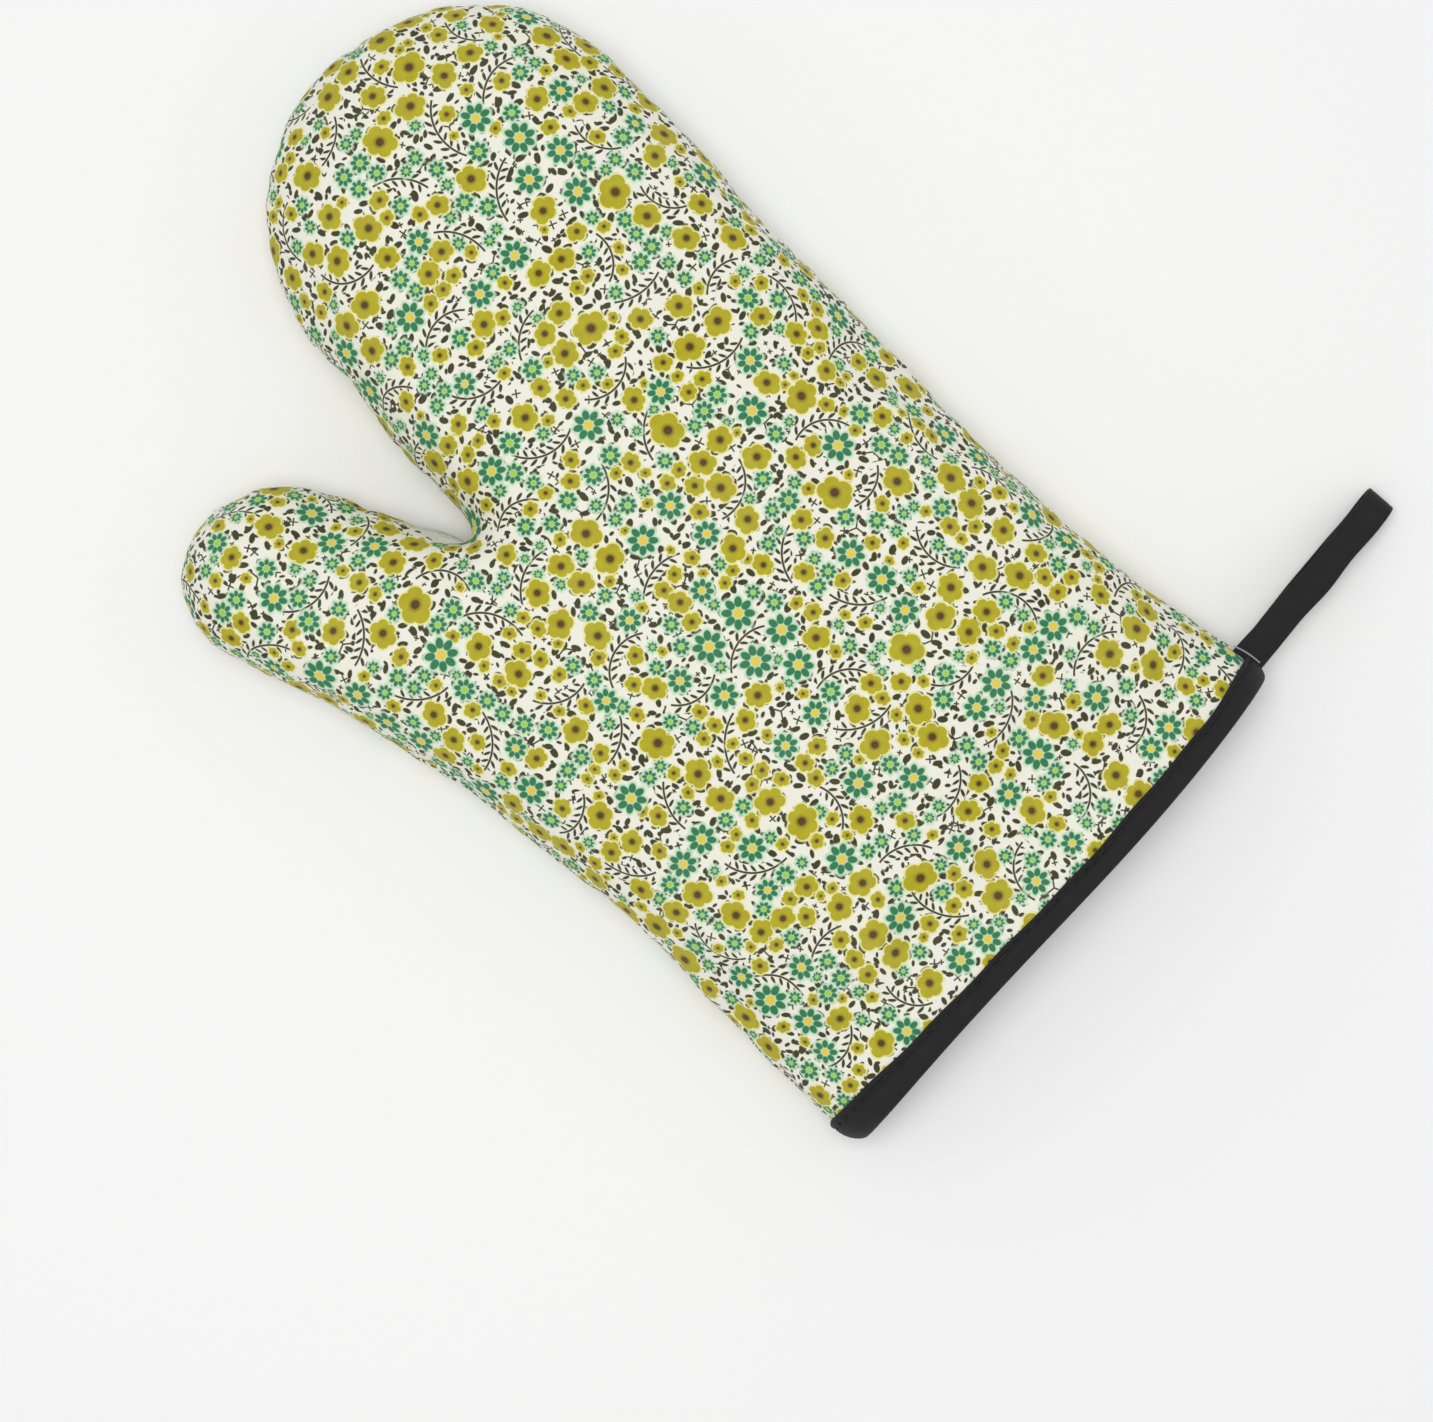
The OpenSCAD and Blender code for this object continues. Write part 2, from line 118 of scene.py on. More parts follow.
@dataclass(frozen=True)
class MittPattern:
    """The mitt's sizes in millimetres, and the shape of any rib at any depth under the outer face."""

    length: float = 280.0
    cuff_width: float = 158.0
    finger_radius: float = 53.2
    finger_lean: float = 36.0
    thumb_radius: float = 22.6
    thumb_height: float = 229.0
    thumb_spread: float = 65.7
    crotch_height: float = 177.7
    crotch_side: float = 29.0
    crotch_radius: float = 2.4
    cuff_thickness: float = 34.0
    palm_thickness: float = 40.0
    finger_thickness: float = 37.0
    thumb_thickness: float = 32.0
    widest_height: float = 11.0
    seam_height: float = 15.0
    edge_roll: float = 18.0
    fullness: float = 2.6
    shell: float = 0.6
    wadding: float = 4.0
    lining: float = 0.6
    tape: float = 0.8
    cuff_straight: float = 10.4
    flat_start: float = 30.4
    fork_drop: float = 50.0
    loop_length: float = 54.0

    thumb_out: float = 190.0
    thumb_in: float = 17.0
    finger_out: float = 175.0
    finger_in: float = -3.0
    crotch_thumb: float = 229.0
    crotch_finger: float = 350.0
    fork_share: float = 0.52
    upper_share: float = 0.5

    @property
    def wall(self) -> float:
        """Thickness of shell, wadding and lining together."""
        return self.shell + self.wadding + self.lining

    @property
    def half_cuff(self) -> float:
        """Half the width across the cuff."""
        return self.cuff_width / 2

    @property
    def thumb_centre(self) -> np.ndarray:
        """Centre of the rounded thumb tip."""
        return np.array([-self.thumb_spread, self.thumb_height - self.thumb_radius])

    @property
    def finger_centre(self) -> np.ndarray:
        """Centre of the rounded fingertips."""
        return np.array([self.finger_lean, self.length - self.finger_radius])

    @property
    def crotch_centre(self) -> np.ndarray:
        """Centre of the small arc between thumb and fingers."""
        return np.array([-self.crotch_side, self.crotch_height + self.crotch_radius])

    @property
    def fork(self) -> np.ndarray:
        """Where the ridge divides into thumb and fingers."""
        return np.array([self.finger_lean / 5, self.crotch_height - self.fork_drop])

    def stem(self, t: float) -> tuple[np.ndarray, float]:
        """Ridge point and thickness between the cuff and the fork."""
        middle = np.array([0.0, 50.0])
        start = np.array([0.0, self.cuff_straight])
        point = bezier(start, middle, middle + (self.fork - middle) * 0.6, self.fork, t)
        rise = eased(min(1.0, t * 1.4))
        return point, self.cuff_thickness + (self.palm_thickness - self.cuff_thickness) * rise

    def thumb_branch(self, t: float) -> tuple[np.ndarray, float]:
        """Ridge point and thickness between the fork and the thumb tip."""
        a, d = self.fork, self.thumb_centre
        point = bezier(a, a + (-12, 18), d + (14, -34), d, t)
        return point, self.palm_thickness + (self.thumb_thickness - self.palm_thickness) * eased(t)

    def finger_branch(self, t: float) -> tuple[np.ndarray, float]:
        """Ridge point and thickness between the fork and the fingertips."""
        a, d = self.fork, self.finger_centre
        point = bezier(a, a + (6, 32), d + (-6, -34), d, t)
        return point, self.palm_thickness + (self.finger_thickness - self.palm_thickness) * eased(t)

    def thumb_side(self, t: float) -> np.ndarray:
        """Outline from the cuff up the outside of the thumb."""
        end = on_circle(self.thumb_centre, self.thumb_radius, self.thumb_out)
        start = np.array([-self.half_cuff, self.cuff_straight])
        return bezier(start, np.array([5 - self.half_cuff, 75.0]), end - 70 * heading(self.thumb_out), end, t)

    def thumb_inside(self, t: float) -> np.ndarray:
        """Outline from the thumb tip down to the crotch."""
        a = on_circle(self.thumb_centre, self.thumb_radius, self.thumb_in)
        d = on_circle(self.crotch_centre, self.crotch_radius, self.crotch_thumb)
        return bezier(a, a + 12 * heading(self.thumb_in), d + 8 * heading(self.crotch_thumb), d, t)

    def finger_inside(self, t: float) -> np.ndarray:
        """Outline from the crotch up to the fingertips."""
        a = on_circle(self.crotch_centre, self.crotch_radius, self.crotch_finger)
        d = on_circle(self.finger_centre, self.finger_radius, self.finger_out)
        return bezier(a, a - 16 * heading(self.crotch_finger), d - 18 * heading(self.finger_out), d, t)

    def finger_side(self, t: float) -> np.ndarray:
        """Outline from the fingertips down the outside of the hand to the cuff."""
        a = on_circle(self.finger_centre, self.finger_radius, self.finger_in)
        d = np.array([self.half_cuff, self.cuff_straight])
        return bezier(a, a + 74 * heading(self.finger_in), np.array([self.half_cuff - 7.5, 60.0]), d, t)

    def station(self, edge: np.ndarray, ridge: tuple[np.ndarray, float]) -> Station:
        """A rib between an outline point and a ridge point.

        Args:
            edge: the point on the outline.
            ridge: the point on the ridge and the mitt's thickness there.

        Returns:
            The rib, lifted near the cuff, where the palm panel rests on the binding.
        """
        share = (ridge[0][1] - self.cuff_straight) / (self.flat_start - self.cuff_straight)
        return Station(edge, ridge[0], ridge[1], self.tape * (1 - eased(share)))

    def cuff_station(self, side: int, y: float) -> Station:
        """The rib at one corner of the cuff, side -1 for the thumb's and 1 for the loop's."""
        corner = np.array([side * self.half_cuff, y])
        return Station(corner, np.array([0.0, y]), self.cuff_thickness, self.tape)

    def stations(self, density: int) -> list[Station]:
        """Ribs all the way round, from the thumb's corner of the cuff to the loop's.

        Args:
            density: how many ribs stand where the plainest division has one.

        Returns:
            The ribs in order.
        """
        side, tip, top, bend = 7 * density, 16 * density, 20 * density, 4 * density
        fork, upper = self.fork_share, self.upper_share

        def arc(centre: np.ndarray, radius: float, start: float, end: float) -> Callable[[float], np.ndarray]:
            """A round stretch of the outline between two angles in degrees."""
            return lambda t: on_circle(centre, radius, start + (end - start) * t)

        def stretch(first: int, count: int, edge: Callable, ridge: Callable) -> list[Station]:
            """Ribs over one stretch, from where its outline and its ridge are at 0 to 1."""
            return [self.station(edge(i / count), ridge(i / count)) for i in range(first, count + 1)]

        thumb_tip = arc(self.thumb_centre, self.thumb_radius, self.thumb_out, self.thumb_in)
        crotch = arc(self.crotch_centre, self.crotch_radius, self.crotch_thumb, self.crotch_finger)
        fingertips = arc(self.finger_centre, self.finger_radius, self.finger_out, self.finger_in)
        ribs = [self.cuff_station(-1, self.cuff_straight * i / density) for i in range(density)]
        ribs += stretch(0, side, lambda t: self.thumb_side(t * fork), self.stem)
        ribs += stretch(1, side, lambda t: self.thumb_side(fork + (1 - fork) * t), self.thumb_branch)
        ribs += stretch(1, tip, thumb_tip, lambda t: self.thumb_branch(1))
        ribs += stretch(1, side, self.thumb_inside, lambda t: self.thumb_branch(1 - t))
        ribs += stretch(1, bend, crotch, lambda t: self.stem(1))
        ribs += stretch(1, side, self.finger_inside, self.finger_branch)
        ribs += stretch(1, top, fingertips, lambda t: self.finger_branch(1))
        ribs += stretch(1, side, lambda t: self.finger_side(t * upper), lambda t: self.finger_branch(1 - t))
        ribs += stretch(1, side, lambda t: self.finger_side(upper + (1 - upper) * t),
                        lambda t: self.stem(1 - t))
        down = [self.cuff_straight * (1 - i / density) for i in range(1, density + 1)]
        return ribs + [self.cuff_station(1, y) for y in down]

    def seam_angle(self, rib: Station, depth: float = 0.0) -> float:
        """Angle on the dome, in radians, at which the side seam lies."""
        rise = (self.seam_height - self.widest_height) / (rib.thickness - self.widest_height - depth)
        return math.asin(rise ** (self.fullness / 2))

    def _inward(self, rib: Station, inset: float, z: float) -> np.ndarray:
        """Point a distance in from a rib's outline, at a height."""
        point = rib.edge + (rib.ridge - rib.edge) * (inset / rib.reach)
        return np.array([point[0], point[1], z])

    def dome(self, rib: Station, depth: float, angle: float) -> np.ndarray:
        """Point on the upper part of a rib, at an angle in radians from its widest line."""
        power = 2 / self.fullness
        across = max(0.0, math.cos(angle)) ** power
        up = max(0.0, math.sin(angle)) ** power
        return self._inward(rib, rib.reach - (rib.reach - depth) * across,
                            self.widest_height + (rib.thickness - self.widest_height - depth) * up)

    def roll(self, rib: Station, depth: float, angle: float) -> np.ndarray:
        """Point on the rolled edge under a rib's widest line, at an angle in radians."""
        return self._inward(rib, self.edge_roll - (self.edge_roll - depth) * math.cos(angle),
                            self.widest_height - (self.widest_height - rib.lift - depth) * math.sin(angle))

    def rib_points(self, rib: Station, panel: Panel, depth: float, steps: int) -> np.ndarray:
        """Points of one panel's half of a rib, from the seam to the ridge.

        Args:
            rib: the rib.
            panel: which half.
            depth: distance under the outer face.
            steps: how finely the half is divided.

        Returns:
            An array of points, in millimetres.
        """
        start = self.seam_angle(rib, depth)
        if panel is Panel.FRONT:
            angles = [start + (math.pi / 2 - start) * i / steps for i in range(steps)]
            points = [self.dome(rib, depth, a) for a in angles]
            return np.array(points + [np.array([*rib.ridge, rib.thickness - depth])])
        side = max(2, steps // 5)
        points = [self.dome(rib, depth, start * (1 - i / side)) for i in range(side)]
        curve = steps // 2
        points += [self.roll(rib, depth, math.pi / 2 * i / curve) for i in range(curve + 1)]
        rest = steps - curve - side
        flat = np.array([*rib.ridge, rib.lift + depth])
        points += [points[side + curve] + (flat - points[side + curve]) * (i / rest) for i in range(1, rest)]
        return np.array(points + [flat])

    @property
    def shift(self) -> np.ndarray:
        """From the middle of the hem to the frame's origin."""
        low = -self.thumb_spread - self.thumb_radius
        high = self.half_cuff + self.loop_length
        return np.array([-(low + high) / 2, -(self.length - self.tape) / 2, 0.0])

    def placed(self, points: np.ndarray) -> np.ndarray:
        """Moves points from the middle of the hem to the frame's origin, and to metres."""
        return (np.asarray(points, float) + self.shift) * MM

    def unplaced(self, points: np.ndarray) -> np.ndarray:
        """Moves points back to the middle of the hem, and to millimetres."""
        return np.asarray(points, float) / MM - self.shift

    @property
    def hem(self) -> float:
        """Where the hem is along Y in the frame, in metres."""
        return float(self.placed(np.zeros((1, 3)))[0, 1])

    def cuff_section(self, depth: float, steps: int) -> np.ndarray:
        """The cuff's closed section at a depth, from the thumb's seam over the top and back below.

        Args:
            depth: distance under the outer face, in millimetres.
            steps: how finely each quarter is divided.

        Returns:
            An array of points on the plane of the hem, the same number at every depth.
        """
        left, right = self.cuff_station(-1, 0.0), self.cuff_station(1, 0.0)
        top_left = self.rib_points(left, Panel.FRONT, depth, steps)
        top_right = self.rib_points(right, Panel.FRONT, depth, steps)[::-1]
        low_right = self.rib_points(right, Panel.BACK, depth, steps)
        low_left = self.rib_points(left, Panel.BACK, depth, steps)[::-1]
        return np.vstack([top_left, top_right[1:], low_right[1:], low_left[1:-1]])


# ---------------------------------------------------------------------------------------------
# Mesh work shared by the pieces
# ---------------------------------------------------------------------------------------------

def deselect_all() -> None:
    """Leaves nothing selected, because an operator acts on all that is."""
    bpy.ops.object.select_all(action="DESELECT")


def make_active(piece: bpy.types.Object) -> None:
    """Selects one object alone and makes it the active one."""
    deselect_all()
    piece.select_set(True)
    bpy.context.view_layer.objects.active = piece


def new_piece(name: str, points: np.ndarray, faces: Sequence[Sequence[int]]) -> bpy.types.Object:
    """Makes a mesh object from points and faces.

    Args:
        name: the piece's name.
        points: its corners, in metres.
        faces: for each face, the numbers of its corners.

    Returns:
        The new object, linked to the scene.
    """
    mesh = bpy.data.meshes.new(name)
    mesh.from_pydata([tuple(p) for p in points], [], [tuple(int(i) for i in f) for f in faces])
    mesh.validate()
    mesh.update()
    piece = bpy.data.objects.new(name, mesh)
    bpy.context.scene.collection.objects.link(piece)
    return piece


def shade_smooth(piece: bpy.types.Object, sharp_degrees: float = 50.0) -> None:
    """Shades a piece smooth, but keeps edges sharper than an angle."""
    make_active(piece)
    bpy.ops.object.shade_smooth_by_angle(angle=math.radians(sharp_degrees))


def points_of(mesh: bpy.types.Mesh) -> np.ndarray:
    """The mesh's corners as an array, in metres."""
    flat = np.empty(len(mesh.vertices) * 3, np.float32)
    mesh.vertices.foreach_get("co", flat)
    return flat.reshape(-1, 3).astype(float)


def set_points(mesh: bpy.types.Mesh, points: np.ndarray) -> None:
    """Moves the mesh's corners."""
    mesh.vertices.foreach_set("co", np.asarray(points, np.float32).ravel())
    mesh.update()


def normals_of(mesh: bpy.types.Mesh) -> np.ndarray:
    """The mesh's normals at its corners."""
    flat = np.empty(len(mesh.vertices) * 3, np.float32)
    mesh.vertex_normals.foreach_get("vector", flat)
    return flat.reshape(-1, 3).astype(float)


def faces_of(mesh: bpy.types.Mesh) -> list[list[int]]:
    """For each face, the numbers of its corners."""
    return [list(p.vertices) for p in mesh.polygons]


def apply_all(piece: bpy.types.Object) -> None:
    """Applies every modifier on a piece."""
    make_active(piece)
    for modifier in list(piece.modifiers):
        bpy.ops.object.modifier_apply(modifier=modifier.name)


def distances(path: np.ndarray) -> np.ndarray:
    """Distance run along a path at each of its points."""
    return np.concatenate([[0.0], np.cumsum(np.linalg.norm(np.diff(path, axis=0), axis=1))])


def boundary_edges(faces: Sequence[Sequence[int]]) -> list[tuple[int, int]]:
    """Edges that only one face uses, in that face's direction."""
    seen: dict[tuple[int, int], int] = {}
    for face in faces:
        for a, b in zip(face, list(face[1:]) + [face[0]]):
            seen[(a, b)] = seen.get((a, b), 0) + 1
    return [edge for edge in seen if (edge[1], edge[0]) not in seen]


def write_uv(piece: bpy.types.Object, corner_uv: np.ndarray) -> None:
    """Gives a piece the UV map its finish reads, from one coordinate pair for each corner point."""
    layer = piece.data.uv_layers.new(name="pattern")
    owner = np.empty(len(piece.data.loops), np.int32)
    piece.data.loops.foreach_get("vertex_index", owner)
    layer.data.foreach_set("uv", np.asarray(corner_uv, np.float32)[owner].ravel())


def closed_sheet(name: str, outer: np.ndarray, inner: np.ndarray, faces: Sequence[Sequence[int]],
                 uv: np.ndarray) -> bpy.types.Object:
    """Makes a closed sheet between two copies of the same surface.

    Args:
        name: the piece's name.
        outer: points of the outer face, in metres.
        inner: the same points on the inner face.
        faces: the surface's faces, turned outwards.
        uv: pattern coordinates of the points, in metres.

    Returns:
        The closed sheet.
    """
    count = len(outer)
    back = [[i + count for i in reversed(f)] for f in faces]
    rim = [[b, a, a + count, b + count] for a, b in boundary_edges(faces)]
    piece = new_piece(name, np.vstack([outer, inner]), list(map(list, faces)) + back + rim)
    write_uv(piece, np.vstack([uv, uv]))
    return piece


def evened(uv: np.ndarray, points: np.ndarray, faces: Sequence[Sequence[int]], rounds: int) -> np.ndarray:
    """Moves pattern coordinates until every small square of cloth has its own size and shape there.

    Args:
        uv: a pair of coordinates for each point.
        points: the points of the cloth.
        faces: its four-sided faces.
        rounds: how many passes are made.

    Returns:
        The evened coordinates.
    """
    quads = np.array(faces)
    corner = points[quads]
    corner = corner - corner.mean(axis=1, keepdims=True)
    normal = np.cross(corner[:, 2] - corner[:, 0], corner[:, 3] - corner[:, 1])
    normal /= np.maximum(np.linalg.norm(normal, axis=1, keepdims=True), 1e-15)
    first = corner[:, 1] - corner[:, 0]
    first -= normal * (normal * first).sum(axis=1, keepdims=True)
    first /= np.maximum(np.linalg.norm(first, axis=1, keepdims=True), 1e-15)
    second = np.cross(normal, first)
    own = (corner * first[:, None]).sum(axis=2) + 1j * (corner * second[:, None]).sum(axis=2)
    flat = uv[:, 0] + 1j * uv[:, 1]
    span = flat[quads]
    if np.median(((span[:, 2] - span[:, 0]).conj() * (span[:, 3] - span[:, 1])).imag) < 0:
        own = own.conj()
    index = quads.ravel()
    shares = np.bincount(index, minlength=len(flat))
    momentum = 0.85
    before = flat
    for _ in range(rounds):
        placed = flat[quads]
        centre = placed.mean(axis=1, keepdims=True)
        turn = (own.conj() * (placed - centre)).sum(axis=1, keepdims=True)
        goal = (centre + turn / np.maximum(np.abs(turn), 1e-20) * own).ravel()
        total = np.bincount(index, goal.real) + 1j * np.bincount(index, goal.imag)
        flat, before = total / shares + momentum * (flat - before), flat
    return np.stack([flat.real, flat.imag], axis=1)


def swept_ring(name: str, rings: np.ndarray, close_path: bool) -> tuple[bpy.types.Object, int]:
    """Makes a closed solid from sections placed along a path.

    Args:
        name: the piece's name.
        rings: an array of sections, each with the same number of points, in metres.
        close_path: whether the last section joins the first.

    Returns:
        The piece and the number of points in a section.
    """
    count, width = rings.shape[:2]
    faces: list[list[int]] = []
    for r in range(count if close_path else count - 1):
        n = (r + 1) % count
        for k in range(width):
            m = (k + 1) % width
            faces.append([r * width + k, n * width + k, n * width + m, r * width + m])
    if not close_path:
        faces.append(list(range(width)))
        faces.append([(count - 1) * width + k for k in reversed(range(width))])
    piece = new_piece(name, rings.reshape(-1, 3), faces)
    make_active(piece)
    bpy.ops.object.mode_set(mode="EDIT")
    bpy.ops.mesh.select_all(action="SELECT")
    bpy.ops.mesh.normals_make_consistent(inside=False)
    bpy.ops.object.mode_set(mode="OBJECT")
    return piece, width


def wave(points: np.ndarray, size: float, seed: float, octaves: int = 2) -> np.ndarray:
    """Smooth random values from -1 to 1 over space.

    Args:
        points: where to take them, in metres.
        size: length of the largest features, in metres.
        seed: shifts the pattern, so that two uses differ.
        octaves: how many times finer features are added.

    Returns:
        One value for each point.
    """
    phases = np.random.default_rng(int(seed * 1000) + 7)
    total = np.zeros(len(points))
    weight_sum = 0.0
    for octave in range(octaves):
        weight = 0.5 ** octave
        for _ in range(6):
            direction = phases.normal(size=3)
            direction /= np.linalg.norm(direction)
            pitch = TURN / size * 2 ** octave * phases.uniform(0.6, 1.4)
            total += weight * np.sin(points @ direction * pitch + phases.uniform(0, TURN))
        weight_sum += weight * math.sqrt(6 / 2)
    return np.clip(total / weight_sum / 1.6, -1, 1)


# ---------------------------------------------------------------------------------------------
# The mitt's skin
# ---------------------------------------------------------------------------------------------

@dataclass(frozen=True)
class CuffShape:
    """How the soft cuff departs from a straight edge, in millimetres from the middle of the hem."""

    wave_height: float = 1.2
    wave_centre: float = -45.0
    wave_span: float = 83.0
    fade: float = 60.0
    left_tuck: float = 4.2
    right_tuck: float = 1.8
    tuck_height: float = 9.0
    tuck_start: float = 50.0
    bow: float = 0.4
    palm_share: float = 0.25
    palm_top: float = 4.0
    back_rise: float = 18.0
    hem_hang: float = 2.0

    def warp(self, points: np.ndarray, pattern: MittPattern) -> np.ndarray:
        """Bends points near the cuff as the real edge bends.

        Args:
            points: points in millimetres from the middle of the hem.
            pattern: the mitt's sizes.

        Returns:
            The moved points.
        """
        moved = np.array(points, float)
        x, y, z = moved[:, 0].copy(), moved[:, 1].copy(), moved[:, 2].copy()
        near = eased(1 - y / self.fade)
        upper = np.clip((z - self.palm_top) / self.back_rise, 0, 1)
        bow = self.bow + self.wave_height * np.cos((x - self.wave_centre) / self.wave_span * math.pi)
        moved[:, 1] += bow * near * (self.palm_share + (1 - self.palm_share) * upper)
        low = np.clip(1 - (y + self.hem_hang) / (self.tuck_height + self.hem_hang), 0, 1) ** 2
        span = pattern.half_cuff - self.tuck_start
        out = np.clip((np.abs(x) - self.tuck_start) / span, 0, 1)
        tuck = np.where(x < 0, self.left_tuck, self.right_tuck)
        moved[:, 0] -= np.sign(x) * tuck * low * out * out
        return moved


@dataclass
class SkinPanel:
    """One panel of the skin: a surface with what each layer needs at every point."""

    points: np.ndarray
    faces: list[list[int]]
    inward: np.ndarray
    uv: np.ndarray


@dataclass
class MittSkin:
    """The mitt's outer face, inflated once and shared by every layer."""

    pattern: MittPattern
    cuff: CuffShape

    # The blank: how finely the plain form is ribbed, remeshed and divided
    rib_density: int = 3
    rib_steps: int = 26
    voxel: float = 4.42 * MM
    snap_share: float = 0.3
    subdivisions: int = 2

    # The narrow gap between thumb and fingers, in millimetres
    gap_way: tuple[float, float] = (0.17, -0.985)
    bridged: float = 8.9
    bridge_reach: float = 11.5
    pinch: float = 1.6

    # How the cloth swells, and how far from the cuff it is free to
    stretch: float = 0.025
    pressure: float = 3.5
    frames: int = 20
    most_move: float = 3.0 * MM
    drift_reach: float = 26 * MM
    pin_reach: float = 26 * MM
    least_pin: float = 0.02
    bound: float = 7 * MM
    swelling_over: float = 14 * MM
    shaping_over: float = 16 * MM

    # The seam's groove, the puff and puckers beside it, and the cloth's slack as height and length
    groove_depth: float = 1.3 * MM
    groove_width: float = 1.5 * MM
    puff_height: float = 0.5 * MM
    puff_rise: float = 4 * MM
    puff_fade: float = 5 * MM
    pucker_depth: float = 0.55 * MM
    pucker_length: float = 11 * MM
    pucker_reach: float = 9.0 * MM
    long_slack: tuple[float, float] = (0.55 * MM, 46 * MM)
    short_slack: tuple[float, float] = (0.22 * MM, 17 * MM)
    table_contact: float = 0.6 * MM

    # The thumb's turn away from the fingers, in millimetres and degrees
    thumb_root: tuple[float, float] = (-30.0, 120.0)
    thumb_turn: float = 1.8
    gap_clear: float = 14.0

    # The flat pattern: passes of evening, the ring about the crotch, and the back panel's own cut
    evening: int = 300
    crossed_ribs: tuple[float, float] = (14.0, 48.0)
    back_cut: tuple[float, float] = (0.331, 0.047)

    def __post_init__(self) -> None:
        """Prepares the plain surface that the points are looked up on."""
        self._guides = {panel: self._guide(panel) for panel in Panel}
        self.points = np.empty((0, 3))
        self.rest = np.empty((0, 3))
        self.faces: list[list[int]] = []

    def _guide(self, panel: Panel) -> dict[str, np.ndarray]:
        """One panel's plain surface, with its pattern coordinates and its inward direction."""
        ribs = self.pattern.stations(self.rib_density)
        grid, deep = (np.array([self.pattern.rib_points(rib, panel, depth, self.rib_steps) for rib in ribs])
                      for depth in (0.0, self.pattern.wall))
        legs = np.linalg.norm(np.diff(grid, axis=1), axis=2)
        from_seam = np.concatenate([np.zeros((len(ribs), 1)), np.cumsum(legs, axis=1)], axis=1)
        to_ridge = from_seam[:, -1:] - from_seam
        out = np.array([(rib.edge - rib.ridge) / rib.reach for rib in ribs])
        ridge = np.array([rib.ridge for rib in ribs])
        flat = ridge[:, None, :] + out[:, None, :] * to_ridge[:, :, None]
        edge = np.array([rib.edge for rib in ribs])
        along = distances(edge)
        inward = (deep - grid) / self.pattern.wall
        count, width = grid.shape[:2]
        faces = [[r * width + c, (r + 1) * width + c, (r + 1) * width + c + 1, r * width + c + 1]
                 for r in range(count - 1) for c in range(width - 1)]
        return {
            "points": self.pattern.placed(grid.reshape(-1, 3)),
            "faces": np.array(faces),
            "uv": flat.reshape(-1, 2) * MM,
            "seam": from_seam.reshape(-1) * MM,
            "along": np.repeat(along, width) * MM,
            "inward": inward.reshape(-1, 3),
        }

    def _looked_up(self, panel: Panel, points: np.ndarray, names: Sequence[str]) -> list[np.ndarray]:
        """Values of the guide surface at the nearest place to each point."""
        guide = self._guides[panel]
        quads = guide["faces"]
        triangles = np.vstack([quads[:, [0, 1, 2]], quads[:, [0, 2, 3]]])
        corners = guide["points"][triangles]
        size = np.linalg.norm(np.cross(corners[:, 1] - corners[:, 0], corners[:, 2] - corners[:, 0]), axis=1)
        triangles = triangles[size > 1e-12]
        tree = BVHTree.FromPolygons([Vector(p) for p in guide["points"]], triangles.tolist())
        found = [tree.find_nearest(Vector(p)) for p in points]
        place = np.array([f[0] for f in found])
        face = triangles[[f[2] for f in found]]
        a, b, c = (guide["points"][face[:, k]] for k in range(3))
        v0, v1, v2 = b - a, c - a, place - a
        d00, d01, d11 = (v0 * v0).sum(1), (v0 * v1).sum(1), (v1 * v1).sum(1)
        d20, d21 = (v2 * v0).sum(1), (v2 * v1).sum(1)
        scale = np.maximum(d00 * d11 - d01 * d01, 1e-20)
        share_b = np.clip((d11 * d20 - d01 * d21) / scale, 0, 1)
        share_c = np.clip((d00 * d21 - d01 * d20) / scale, 0, 1)
        share_a = 1 - share_b - share_c
        values = []
        for name in names:
            table = guide[name]
            if table.ndim == 1:
                table = table[:, None]
            mixed = (table[face[:, 0]] * share_a[:, None] + table[face[:, 1]] * share_b[:, None]
                     + table[face[:, 2]] * share_c[:, None])
            values.append(mixed if guide[name].ndim > 1 else mixed[:, 0])
        return values

    def _closed_form(self) -> bpy.types.Object:
        """The plain form, with its open end pulled out past the hem and closed."""
        front, back = self._guides[Panel.FRONT], self._guides[Panel.BACK]
        count = len(front["points"])
        faces = [list(f) for f in front["faces"]] + [list(f + count) for f in back["faces"]]
        blank = new_piece("blank", np.vstack([front["points"], back["points"]]), faces)
        make_active(blank)
        bpy.ops.object.mode_set(mode="EDIT")
        bpy.ops.mesh.select_all(action="SELECT")
        bpy.ops.mesh.remove_doubles(threshold=0.02 * MM)
        bpy.ops.mesh.select_all(action="DESELECT")
        bpy.ops.mesh.select_non_manifold(extend=False, use_wire=False, use_multi_face=False,
                                         use_non_contiguous=False, use_verts=False)
        bpy.ops.mesh.edge_face_add()
        bpy.ops.mesh.select_all(action="SELECT")
        bpy.ops.mesh.normals_make_consistent(inside=False)
        bpy.ops.object.mode_set(mode="OBJECT")
        # The closing face is pushed out past the hem, so that the remesh rounds it off beyond the cut.
        mesh = bpy.data.meshes.new("blank_work")
        work = bmesh.new()
        work.from_mesh(blank.data)
        caps = [f for f in work.faces if len(f.verts) > 8]
        pulled = bmesh.ops.extrude_face_region(work, geom=caps)
        moved = [v for v in pulled["geom"] if isinstance(v, bmesh.types.BMVert)]
        bmesh.ops.translate(work, verts=moved, vec=(0, -4 * self.voxel, 0))
        bmesh.ops.delete(work, geom=caps, context="FACES")
        work.to_mesh(mesh)
        work.free()
        blank.data = mesh
        return blank

